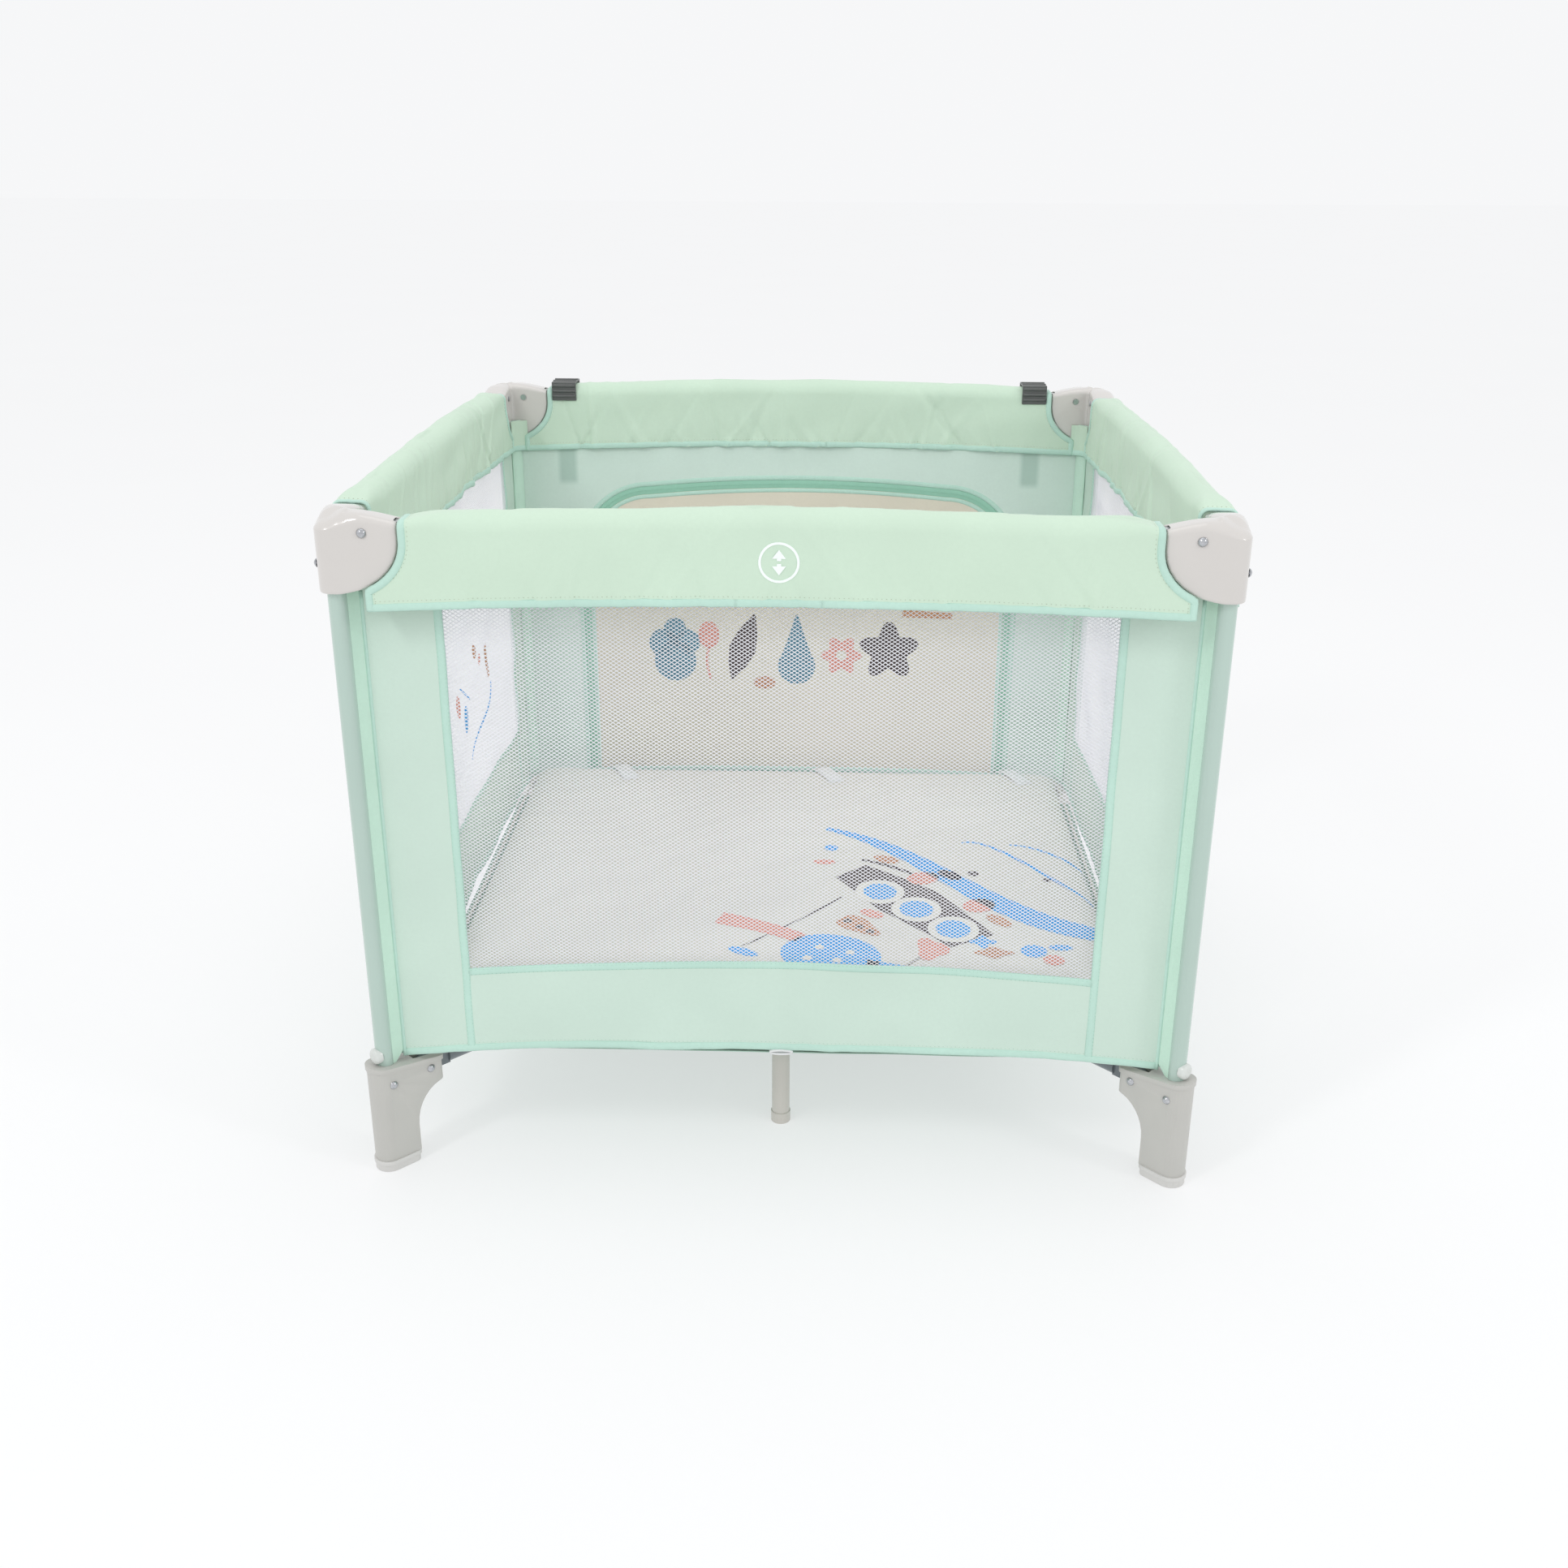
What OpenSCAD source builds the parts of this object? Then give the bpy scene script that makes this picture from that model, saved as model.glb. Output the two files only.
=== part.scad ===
/* [Frame] */
// Distance from the middle of the pen to a corner tube's axis, along a side
half_w = 460; // [440:5:500]
// Outer diameter of the corner tubes
leg_d = 20; // [18:1:20]
// Outer diameter of the tubes in the folding top rails and floor struts
bar_d = 20; // [18:1:20]
// Height of the top rails' axis
rail_z = 770; // [740:5:800]
// Height of the floor struts' axis
strut_z = 117; // [115:1:119]
// Distance from a corner tube's axis to the rail pivot in its cap
cap_pivot = 36; // [34:1:38]
// Distance from the middle of a side to each pivot of its centre lock
lock_pivot = 42; // [38:1:46]
// Distance from a corner tube's axis to the strut pivot in its foot
foot_pivot = 50; // [48:1:52]

/* [Corner caps and feet] */
// Length of a cap's wings, from the corner tube's axis
cap_wing = 72; // [70:1:76]
// Thickness of a cap's wings
cap_t = 34; // [32:1:36]
// Reach of a foot's bracket, from the corner tube's axis towards the middle
foot_reach = 68; // [66:1:70]
// Thickness of a foot's bracket
foot_t = 34; // [32:1:36]

/* [Middle support legs] */
// Distance from the middle of the pen to the front support leg
support_front_y = 352; // [340:1:360]
// Distance from the middle of the pen to the back support leg
support_back_y = 384; // [380:1:390]

/* [Soft parts] */
// Thickness of the mattress
mattress_t = 29; // [20:1:40]
// Half the width of the mattress
mattress_half = 436; // [420:1:438]
// Half the width of the zipped door in the back wall
door_half = 352; // [300:1:360]
// Height of the middle of the door's top edge
door_top = 632; // [600:1:640]

/* [Hidden] */
$fn = 48;

// play and walls
play = 0.1;        // a tube in its socket
pin_play = 0.05;   // a bar turning on its pin
pin_r = 3;
screw_r = 2.5;
tube_wall = 1.2;
eye_r = 10;        // flattened, drilled end of a bar
eye_t = 12;
slot_w = 16;       // slot that a flattened end folds in
near = 0.3;

// bars: the floor is the top rails' triangle turned by 45 degrees, so both fold together
rail_len = half_w - cap_pivot - lock_pivot;
strut_len = rail_len * sqrt(2);
hub_pivot = sqrt(2) * (cap_pivot + lock_pivot) - foot_pivot;
cap_flat = 62;     // flattened stretch of a rail, at its cap
lock_flat = 27;    // flattened stretch of a rail, at its lock
strut_flat = 31;   // flattened stretch of a strut, at both ends

// corner cap
cap_top = rail_z + 19;
cap_end_top = rail_z + 11;
cap_spring = rail_z - 8;
cap_drop = 57;
cap_low = cap_spring - cap_drop;
cap_roof = rail_z + 14;
cap_screw_z = rail_z - 35;
tube_top = rail_z + 8;

// foot
sole_h = 14;
sole_grow = 1.8;
sole_waist = 0.6;
foot_back = 5;     // how far the round outer end is set out from the tube's axis
foot_top_out = 141;
foot_top_in = 129;
foot_lip = 1.5;
foot_lip_h = 6;
stem_reach = 28;
stem_z = 50;
arch_top = 97;
foot_floor = 18;
foot_screw_z = 115;
foot_corner = 8;

// screw heads
head_r = 5.5;
head_h = 2.2;
end_r = 4.2;
end_h = 1.2;

// centre lock
lock_l = 58;
lock_t = 24;
lock_up = 11;
lock_floor = 12;
lock_base = 4;
lock_block_l = 24;
lock_block_low = 38;
button_z = rail_z - 25;
button_r = 9.5;
button_in = 6;
button_out = 14;
button_bore = 0.5;

// hub
hub_arm_w = 36;
hub_arm_end = 74;
hub_side_end = 64;
hub_low = strut_z - 13;
hub_high = strut_z + 14;
side_pivot = 50;
hub_pin_half = 15;
strap_w = 25;
strap_l = 120;
strap_t = 2;

// support legs
support_r = 11;
support_bend = 32;
support_tip_h = 14;
support_tip_r = 12;

// fabric
cloth = 1.5;
wall_at = 444.5;   // inner face of each fabric wall
wall_half = 438;
wall_low = 140;
wall_high = rail_z - 12;
wall_gap = 2;      // room between a wall and the caps
base_z = 138;
base_half = 443.5;
mattress_z = 140.5;
mattress_corner = 30;
door_low = 150;
door_corner = 120;
door_arch = 12;
door_gap = 1;
cover_out = 17;    // outer face of a rail cover, from the rail's axis
cover_in = 19;
cover_skin = 2;
cover_rise = 10;
cover_end_top = rail_z + 17;
cover_end_hem = rail_z - 81;
cover_end = 79;
cover_toe = 26;
cap_gap = 7;
cover_steps = 10;
clip_at = 360;     // middle of each clip, from the middle of the back side
clip_w = 37;
clip_skin = 3;
clip_gap = 0.8;
clip_low = rail_z - 4;
clip_high = rail_z + 24;

// ---- placing ----

// The corner that is n quarter turns from the front left one, with its tube's axis at the origin
module at_corner(n) {
    rotate([0, 0, 90 * n]) translate([-half_w, -half_w, 0]) children();
}

// The same corner with +X along the diagonal, towards the middle
module at_diagonal(n) {
    at_corner(n) rotate([0, 0, 45]) children();
}

// The side that is n quarter turns from the front, with the middle of its rail's line at the origin
module at_side(n) {
    rotate([0, 0, 90 * n]) translate([0, -half_w, 0]) children();
}

// An outline in X and Z, drawn as X and Y, made y_from to y_to thick
module upright(y_from, y_to) {
    translate([0, y_to, 0]) rotate([90, 0, 0]) linear_extrude(y_to - y_from) children();
}

// A cylinder along Y from y_from to y_to
module across(r, y_from, y_to) {
    translate([0, y_to, 0]) rotate([90, 0, 0]) cylinder(r = r, h = y_to - y_from);
}

function quarter(n = 8) = [for (i = [0 : n]) 90 * i / n];

// ---- corner caps ----

// Side view of a wing: flat above, and a quarter ellipse from its end to its foot
module cap_outline() {
    polygon(concat(
        [[0, cap_top], [0, cap_low]],
        [for (t = quarter()) [cap_wing * sin(t), cap_spring - cap_drop * cos(t)]],
        [[cap_wing, cap_end_top]]
    ));
}

module cap_wing_solid() {
    upright(-cap_t / 2, cap_t / 2) cap_outline();
}

module rail_channel() {
    translate([eye_r * 2, -slot_w / 2, cap_low - 20])
        cube([cap_wing, slot_w, cap_roof - cap_low + 20]);
}

module cap_bores() {
    translate([cap_pivot, 0, rail_z]) across(pin_r + pin_play, -cap_t, cap_t);
}

module cap(n) {
    color([0.86, 0.84, 0.81]) at_corner(n) difference() {
        union() {
            translate([0, 0, cap_low]) cylinder(r = cap_t / 2, h = cap_top - cap_low);
            cap_wing_solid();
            rotate([0, 0, 90]) cap_wing_solid();
        }
        translate([0, 0, cap_low - 1]) cylinder(r = leg_d / 2 + play, h = tube_top - cap_low + 1 + near);
        rail_channel();
        rotate([0, 0, 90]) rail_channel();
        cap_bores();
        rotate([0, 0, 90]) cap_bores();
        side_screw_place(n) across(screw_r + pin_play, -cap_t, cap_t);
    }
}

// The cap's own screw runs along X at every corner, with its head outside
module side_screw_place(n) {
    translate([0, 0, cap_screw_z]) rotate([0, 0, n % 2 == 0 ? -90 : 0]) children();
}

// ---- corner tubes ----

module leg_tube(n) {
    color([0.72, 0.80, 0.72]) difference() {
        at_corner(n) translate([0, 0, foot_floor + near])
            cylinder(r = leg_d / 2, h = tube_top - foot_floor - near);
        at_corner(n) cylinder(r = leg_d / 2 - tube_wall, h = tube_top + 1);
        at_corner(n) side_screw_place(n) across(screw_r + pin_play, -leg_d, leg_d);
        at_diagonal(n) translate([0, 0, foot_screw_z]) across(screw_r + pin_play, -leg_d, leg_d);
    }
}

// ---- feet ----

// Plan of a foot: round outside, with small corners at its inner end
module foot_plan(reach, grow) {
    half = foot_t / 2 + grow;
    inner = reach + grow;
    translate([-foot_back, 0]) circle(r = half);
    translate([-foot_back, -half]) square([inner + foot_back - foot_corner, 2 * half]);
    translate([0, foot_corner - half]) square([inner, 2 * (half - foot_corner)]);
    for (s = [-1, 1])
        translate([inner - foot_corner, s * (half - foot_corner)]) circle(r = foot_corner);
}

// Side view of a foot: an arm that arches down to a stem
module foot_side() {
    far = foot_reach + 20;
    polygon(concat(
        [[-far, sole_h], [stem_reach, sole_h]],
        [for (t = quarter()) [
            foot_reach - (foot_reach - stem_reach) * cos(t),
            stem_z + (arch_top - stem_z) * sin(t)
        ]],
        [[far, arch_top], [far, foot_roof(far)], [-far, foot_roof(-far)]]
    ));
}

// Height of the sloping top at a distance from the tube's axis
function foot_roof(u) =
    foot_top_out + (foot_top_in - foot_top_out) * (u + foot_t / 2 + foot_back)
        / (foot_reach + foot_t / 2 + foot_back);

module foot_rim() {
    far = foot_reach + 20;
    polygon([
        [-far, foot_roof(-far) - foot_lip_h], [far, foot_roof(far) - foot_lip_h],
        [far, foot_roof(far)], [-far, foot_roof(-far)]
    ]);
}

module foot(n) {
    color([0.76, 0.75, 0.73]) at_diagonal(n) difference() {
        union() {
            intersection() {
                upright(-foot_t, foot_t) foot_side();
                linear_extrude(foot_top_out + 20) foot_plan(foot_reach, 0);
            }
            intersection() {
                upright(-foot_t, foot_t) foot_rim();
                linear_extrude(foot_top_out + 20) foot_plan(foot_reach, foot_lip);
            }
        }
        translate([0, 0, foot_floor]) cylinder(r = leg_d / 2 + play, h = foot_top_out);
        translate([foot_pivot - eye_r * 1.8, -slot_w / 2, strut_z - eye_r - 2])
            cube([foot_reach, slot_w, foot_top_out]);
        translate([foot_pivot, 0, strut_z]) across(pin_r + pin_play, -foot_t, foot_t);
        translate([0, 0, foot_screw_z]) across(screw_r + pin_play, -foot_t, foot_t);
    }
}

module sole(n) {
    color([0.84, 0.83, 0.81]) at_diagonal(n) {
        linear_extrude(sole_h * 0.6) foot_plan(stem_reach, sole_waist);
        translate([0, 0, sole_h * 0.6]) linear_extrude(sole_h * 0.4) foot_plan(stem_reach, sole_grow);
    }
}

// ---- screws ----

// A screw along Y through a wall pair: a round head at one end and, where riveted, a flat one at the other
module screw(r, half, riveted = true) {
    across(r, -half - 0.5, half + 0.5);
    difference() {
        translate([0, -half - near + head_h, 0]) sphere(r = head_r);
        translate([0, -half - near + head_r * 2, 0]) cube(head_r * 4, center = true);
    }
    if (riveted) across(end_r, half + near, half + near + end_h);
}

module screws(n) {
    color([0.80, 0.80, 0.82]) {
        at_corner(n) {
            translate([cap_pivot, 0, rail_z]) screw(pin_r, cap_t / 2);
            rotate([0, 0, 90]) mirror([0, 1, 0]) translate([cap_pivot, 0, rail_z])
                screw(pin_r, cap_t / 2);
            side_screw_place(n) screw(screw_r, cap_t / 2, false);
        }
        at_diagonal(n) {
            translate([foot_pivot, 0, strut_z]) foot_turn(n) screw(pin_r, foot_t / 2);
            translate([0, 0, foot_screw_z]) foot_turn(n) screw(screw_r, foot_t / 2);
        }
    }
}

// Screw heads face the front or the back of the pen, never its sides
module foot_turn(n) {
    rotate([0, 0, n == 1 || n == 3 ? 180 : 0]) children();
}

// ---- bars ----

// A tube along X with both ends flattened and drilled, its pivots at x = 0 and x = length
module bar(length, d, flat_0, flat_1) {
    difference() {
        union() {
            across(eye_r, -eye_t / 2, eye_t / 2);
            translate([length, 0, 0]) across(eye_r, -eye_t / 2, eye_t / 2);
            translate([0, -eye_t / 2, -eye_r]) cube([flat_0 + 2, eye_t, 2 * eye_r]);
            translate([length - flat_1 - 2, -eye_t / 2, -eye_r]) cube([flat_1 + 2, eye_t, 2 * eye_r]);
            translate([flat_0, 0, 0]) rotate([0, 90, 0]) cylinder(r = d / 2, h = length - flat_0 - flat_1);
        }
        across(pin_r + pin_play, -eye_t, eye_t);
        translate([length, 0, 0]) across(pin_r + pin_play, -eye_t, eye_t);
        translate([flat_0 + 5, 0, 0]) rotate([0, 90, 0])
            cylinder(r = d / 2 - tube_wall, h = length - flat_0 - flat_1 - 10);
        for (x = [flat_0 + 12, length - flat_1 - 12])
            translate([x, 0, -d]) cylinder(r = 2, h = d);
    }
}

// Half a top rail: from the left corner of side n, or from its right corner
module rail(n, from_right) {
    color([0.66, 0.68, 0.68]) at_side(n) rotate([0, 0, from_right ? 180 : 0])
        translate([cap_pivot - half_w, 0, rail_z]) bar(rail_len, bar_d, cap_flat, lock_flat);
}

module strut(n) {
    color([0.26, 0.27, 0.28]) at_diagonal(n)
        translate([foot_pivot, 0, strut_z]) bar(strut_len, bar_d, strut_flat, strut_flat);
}

// ---- centre locks ----

module lock(n) {
    color([0.30, 0.31, 0.32]) at_side(n) {
        difference() {
            union() {
                translate([-lock_l, -lock_t / 2, rail_z - lock_floor - lock_base])
                    cube([2 * lock_l, lock_t, lock_floor + lock_base + lock_up]);
                translate([-lock_block_l, -lock_t / 2, rail_z - lock_block_low])
                    cube([2 * lock_block_l, lock_t, lock_block_low - lock_floor]);
            }
            translate([-lock_l - 1, -slot_w / 2, rail_z - lock_floor])
                cube([2 * lock_l + 2, slot_w, lock_floor + lock_up + 1]);
            translate([0, 0, button_z]) across(button_r + play, -lock_t, -button_bore);
        }
        for (s = [-1, 1])
            translate([s * lock_pivot, 0, rail_z]) across(pin_r, -lock_t / 2 - 1, lock_t / 2 + 1);
    }
}

module lock_button(n) {
    color([0.70, 0.24, 0.20]) at_side(n) translate([0, 0, button_z])
        across(button_r, -button_out, -button_in);
}

// ---- hub ----

// Three flat beams crossing at the middle, slotted at their ends for the struts and supports
module hub() {
    color([0.24, 0.25, 0.26]) difference() {
        union() {
            for (turn = [45, 135]) hub_beam(turn, hub_arm_end);
            hub_beam(90, hub_side_end);
        }
        for (n = [0 : 3]) rotate([0, 0, 45 + 90 * n]) hub_slot(hub_pivot);
        for (n = [0, 1]) rotate([0, 0, 90 + 180 * n]) hub_slot(side_pivot);
    }
}

module hub_beam(turn, half) {
    rotate([0, 0, turn]) translate([-half, -hub_arm_w / 2, hub_low])
        cube([2 * half, hub_arm_w, hub_high - hub_low]);
}

// A slot open below and outwards, with its pin's bore
module hub_slot(pivot) {
    translate([pivot - eye_r - 2, -slot_w / 2, hub_low - 1])
        cube([hub_arm_end, slot_w, strut_z - hub_low + 1 + eye_r + 1]);
    translate([pivot, 0, strut_z]) across(pin_r + pin_play, -hub_pin_half - 0.5, hub_pin_half + 0.5);
}

module hub_pins() {
    color([0.80, 0.80, 0.82]) {
        for (n = [0 : 3]) rotate([0, 0, 45 + 90 * n])
            translate([hub_pivot, 0, strut_z]) across(pin_r, -hub_pin_half, hub_pin_half);
        for (n = [0, 1]) rotate([0, 0, 90 + 180 * n])
            translate([side_pivot, 0, strut_z]) across(pin_r, -hub_pin_half, hub_pin_half);
    }
}

module hub_strap() {
    color([0.30, 0.31, 0.32]) translate([-strap_w / 2, -strap_l / 2, hub_high + near])
        cube([strap_w, strap_l, strap_t]);
}

// ---- middle support legs ----

// A bent tube from the hub to the floor, y_at from the middle
module support(n, y_at) {
    run = y_at - side_pivot - support_bend;
    drop = strut_z - support_bend - support_tip_h;
    color([0.74, 0.76, 0.75]) rotate([0, 0, 90 * n - 90]) translate([side_pivot, 0, strut_z]) difference() {
        union() {
            across(eye_r, -eye_t / 2, eye_t / 2);
            translate([0, -eye_t / 2, -eye_r]) cube([strut_flat + 2, eye_t, 2 * eye_r]);
            translate([strut_flat, 0, 0]) rotate([0, 90, 0]) cylinder(r = support_r, h = run - strut_flat);
            translate([run, 0, -support_bend]) rotate([90, 0, 0])
                rotate_extrude(angle = 90) translate([support_bend, 0]) circle(r = support_r);
            translate([run + support_bend, 0, -support_bend - drop]) cylinder(r = support_r, h = drop);
            translate([run + support_bend, 0, -strut_z]) cylinder(r = support_tip_r, h = support_tip_h);
        }
        across(pin_r + pin_play, -eye_t, eye_t);
    }
}

// ---- soft parts ----

module base_sheet() {
    color([0.86, 0.85, 0.80]) translate([-base_half, -base_half, base_z])
        cube([2 * base_half, 2 * base_half, cloth]);
}

module mattress() {
    inner = mattress_half - mattress_corner;
    color([0.90, 0.88, 0.84]) translate([0, 0, mattress_z]) linear_extrude(mattress_t) {
        square([2 * mattress_half, 2 * inner], center = true);
        square([2 * inner, 2 * mattress_half], center = true);
        for (x = [-inner, inner], y = [-inner, inner]) translate([x, y]) circle(r = mattress_corner);
    }
}

// Side view of a wall, with its upper corners cut round the caps
module wall_outline() {
    for (s = [0, 1]) mirror([s, 0]) polygon(concat(
        [[0, wall_high], [0, wall_low], [wall_half, wall_low], [wall_half, cap_low]],
        [for (t = [18 : 8.5 : 86]) [
            half_w - (cap_wing + wall_gap) * sin(t),
            cap_spring - (cap_drop + wall_gap) * cos(t)
        ]],
        [[half_w - cap_wing - wall_gap, wall_high]]
    ));
}

// The zipped door: straight sides, round upper corners and a low arch between them
module door_outline(grow) {
    half = door_half + grow;
    flat = half - door_corner;
    side_top = door_top - door_arch + grow - door_corner;
    polygon(concat(
        [[-half, door_low - grow], [half, door_low - grow]],
        [for (t = quarter()) [flat + door_corner * cos(t), side_top + door_corner * sin(t)]],
        [for (i = [1 : 7]) door_crown(flat, flat * (1 - i / 4), side_top + door_corner)],
        [for (t = quarter()) [-flat - door_corner * sin(t), side_top + door_corner * cos(t)]]
    ));
}

function door_crown(flat, x, z) = [x, z + door_arch * (1 - pow(x / flat, 2))];

module wall(n) {
    color([0.75, 0.88, 0.78]) at_side(n) upright(half_w - wall_at - cloth, half_w - wall_at) wall_outline();
}

module wall_back() {
    color([0.75, 0.88, 0.78]) at_side(2) upright(half_w - wall_at - cloth, half_w - wall_at) difference() {
        wall_outline();
        door_outline(door_gap);
    }
}

module door_panel() {
    color([0.88, 0.86, 0.80]) at_side(2) upright(half_w - wall_at - cloth, half_w - wall_at) door_outline(0);
}

module zip_slider() {
    color([0.35, 0.36, 0.36]) at_side(2)
        translate([door_half - 12, half_w - wall_at - cloth - 4 - near, door_low + 12]) cube([9, 4, 20]);
}

// Side view of a rail cover, arched up by cover_rise, with its ends cut round the caps
module cover_outline() {
    right = cover_edge();
    left = [for (i = [len(right) - 1 : -1 : 0]) [-right[i][0], right[i][1]]];
    polygon(concat(left, right));
}

// From the middle of the hem, round the right end, to the middle of the top
function cover_edge() = concat(
    [for (i = [0 : cover_steps]) cover_arch(i, half_w - cover_toe, cover_end_hem)],
    [for (t = [18 : 8 : 90]) [
        half_w - (cap_wing + cap_gap) * sin(t),
        cap_spring - (cap_drop + cap_gap) * cos(t)
    ]],
    [for (i = [cover_steps : -1 : 0]) cover_arch(i, half_w - cover_end, cover_end_top)]
);

// Point i of cover_steps along an arched edge that is reach long and ends at height z
function cover_arch(i, reach, z) =
    [reach * i / cover_steps, z + cover_rise * (1 - pow(i / cover_steps, 2))];

// The room inside a cover: the same arch on top, carried on past both ends, and open below
module cover_room() {
    past = cover_steps + 2;
    low = cover_end_hem - cover_rise;
    polygon(concat(
        [[-half_w, low], [half_w, low]],
        [for (i = [past : -1 : -past]) cover_arch(i, half_w - cover_end, cover_end_top - cover_skin * 1.5)]
    ));
}

module cover(n) {
    color([0.78, 0.90, 0.80]) at_side(n) difference() {
        upright(-cover_out, cover_in) cover_outline();
        upright(cover_skin - cover_out, cover_in - cover_skin) cover_room();
    }
}

// A hooked clip over the back rail's cover, at +1 or -1 along the back side
module clip(side) {
    from = -cover_out - clip_gap;
    to = cover_in + clip_gap;
    color([0.30, 0.31, 0.31]) at_side(2) translate([side * clip_at - clip_w / 2, 0, 0]) difference() {
        translate([0, from - clip_skin, clip_low])
            cube([clip_w, to - from + 2 * clip_skin, clip_high - clip_low]);
        translate([-1, from, clip_low - 1])
            cube([clip_w + 2, to - from, clip_high - clip_skin - clip_low + 1]);
    }
}

// ---- nodes ----

cap(0);  // cap_fl
cap(1);  // cap_fr
cap(2);  // cap_br
cap(3);  // cap_bl
leg_tube(0);  // tube_fl
leg_tube(1);  // tube_fr
leg_tube(2);  // tube_br
leg_tube(3);  // tube_bl
foot(0);  // foot_fl
foot(1);  // foot_fr
foot(2);  // foot_br
foot(3);  // foot_bl
sole(0);  // sole_fl
sole(1);  // sole_fr
sole(2);  // sole_br
sole(3);  // sole_bl
screws(0);  // screws_fl
screws(1);  // screws_fr
screws(2);  // screws_br
screws(3);  // screws_bl
rail(0, false);  // rail_front_l
rail(0, true);  // rail_front_r
rail(1, false);  // rail_right_f
rail(1, true);  // rail_right_b
rail(2, false);  // rail_back_r
rail(2, true);  // rail_back_l
rail(3, false);  // rail_left_b
rail(3, true);  // rail_left_f
lock(0);  // lock_front
lock(1);  // lock_right
lock(2);  // lock_back
lock(3);  // lock_left
lock_button(0);  // button_front
lock_button(1);  // button_right
lock_button(2);  // button_back
lock_button(3);  // button_left
strut(0);  // strut_fl
strut(1);  // strut_fr
strut(2);  // strut_br
strut(3);  // strut_bl
hub();
hub_pins();
hub_strap();
support(0, support_front_y);  // support_front
support(2, support_back_y);  // support_back
base_sheet();
mattress();
wall(0);  // wall_front
wall(1);  // wall_right
wall_back();
wall(3);  // wall_left
door_panel();
zip_slider();
cover(0);  // cover_front
cover(1);  // cover_right
cover(2);  // cover_back
cover(3);  // cover_left
clip(1);  // clip_back_l
clip(-1);  // clip_back_r
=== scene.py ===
import math

import bmesh
import bpy
import numpy as np
from mathutils import Matrix, Vector
from mathutils.bvhtree import BVHTree


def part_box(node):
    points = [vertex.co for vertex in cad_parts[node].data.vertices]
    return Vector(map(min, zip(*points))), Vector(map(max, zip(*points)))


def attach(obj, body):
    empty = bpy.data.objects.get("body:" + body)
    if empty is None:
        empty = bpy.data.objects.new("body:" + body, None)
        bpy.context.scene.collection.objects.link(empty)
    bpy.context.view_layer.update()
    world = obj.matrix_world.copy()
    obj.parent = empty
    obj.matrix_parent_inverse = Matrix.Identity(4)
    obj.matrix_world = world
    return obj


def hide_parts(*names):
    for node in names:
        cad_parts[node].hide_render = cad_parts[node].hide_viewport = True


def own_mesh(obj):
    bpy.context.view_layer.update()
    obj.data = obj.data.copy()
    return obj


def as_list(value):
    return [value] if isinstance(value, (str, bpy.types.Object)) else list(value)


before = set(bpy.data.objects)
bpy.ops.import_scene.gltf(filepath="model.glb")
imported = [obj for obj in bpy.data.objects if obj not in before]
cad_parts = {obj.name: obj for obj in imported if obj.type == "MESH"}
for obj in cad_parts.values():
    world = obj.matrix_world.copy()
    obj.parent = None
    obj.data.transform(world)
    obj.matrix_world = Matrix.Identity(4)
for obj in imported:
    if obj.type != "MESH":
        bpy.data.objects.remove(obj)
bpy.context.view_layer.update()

# ---- sizes, in metres ----

SIDES = ("front", "right", "back", "left")
CORNERS = ("fl", "fr", "br", "bl")  # corner n stands at the left end of side n, seen from outside
FRONT, RIGHT, BACK, LEFT = range(4)
# The two halves of each side's top rail, left one first, seen from outside
RAIL_HALVES = (("front_l", "front_r"), ("right_f", "right_b"), ("back_r", "back_l"), ("left_b", "left_f"))


def low(node):
    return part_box(node)[0]


def high(node):
    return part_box(node)[1]


CORNER = -(low("tube_fl").x + high("tube_fl").x) / 2  # from the middle of the pen to a corner tube's axis
TUBE_R = (high("tube_fl").x - low("tube_fl").x) / 2
RAIL_Z = (low("rail_front_l").z + high("rail_front_l").z) / 2
CAP_WING = CORNER + high("cap_fl").x
CAP_LOW = low("cap_fl").z
CAP_SPRING = RAIL_Z - 0.008  # height where a cap's quarter ellipse ends
CAP_DROP = CAP_SPRING - CAP_LOW

WALL_D = -(low("wall_front").y + high("wall_front").y) / 2  # from the middle of the pen to the fabric
WALL_END = high("wall_front").x + 0.002
WALL_LOW = low("wall_front").z
WALL_TOP = high("wall_front").z - 0.003
CLOTH = 0.0008

WINDOW = 0.357  # half the width of a mesh window
WINDOW_LOW = 0.270  # its bottom edge, in the middle of the side
WINDOW_ARCH = 0.016
WINDOW_TOP = 0.722
HEM_RISE = 0.016  # how much the wall's hem rises from the corners to the middle
TAPE = 0.010  # width of the bindings

COVER_R = 0.0192  # half the width of a rail cover, which is round on top
COVER_R_END = 0.008  # radius of its upper edges at its ends, where it is squarer
COVER_TOP = high("cover_front").z
COVER_HEM = low("cover_front").z
COVER_ARCH = 0.010
COVER_DIP = 0.0055  # how much a cover is pulled down further where it meets the caps
COVER_END = 0.0745  # from a corner tube's axis to the end of a cover, on top
COVER_TOE = 0.036  # and at its hem
PATCH = 0.044  # half the length of the part of a cover that goes with the lock

DOOR = high("door_panel").x  # half the width of the zipped door
DOOR_TOP = high("door_panel").z + 0.021  # the CAD door ends at its zip
DOOR_LOW = low("door_panel").z
DOOR_CORNER = 0.120
DOOR_ARCH = 0.012
DOOR_EDGE = (0.0, 0.008, 0.020, 0.027)  # outer binding, zip band and inner binding, inwards

STRAP_X = (high("clip_back_r").x + low("clip_back_r").x) / 2  # the clips' webbing
STRAP_W = 0.025
STRAP_LOW = 0.640  # its free end


# ---- small helpers ----


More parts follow.
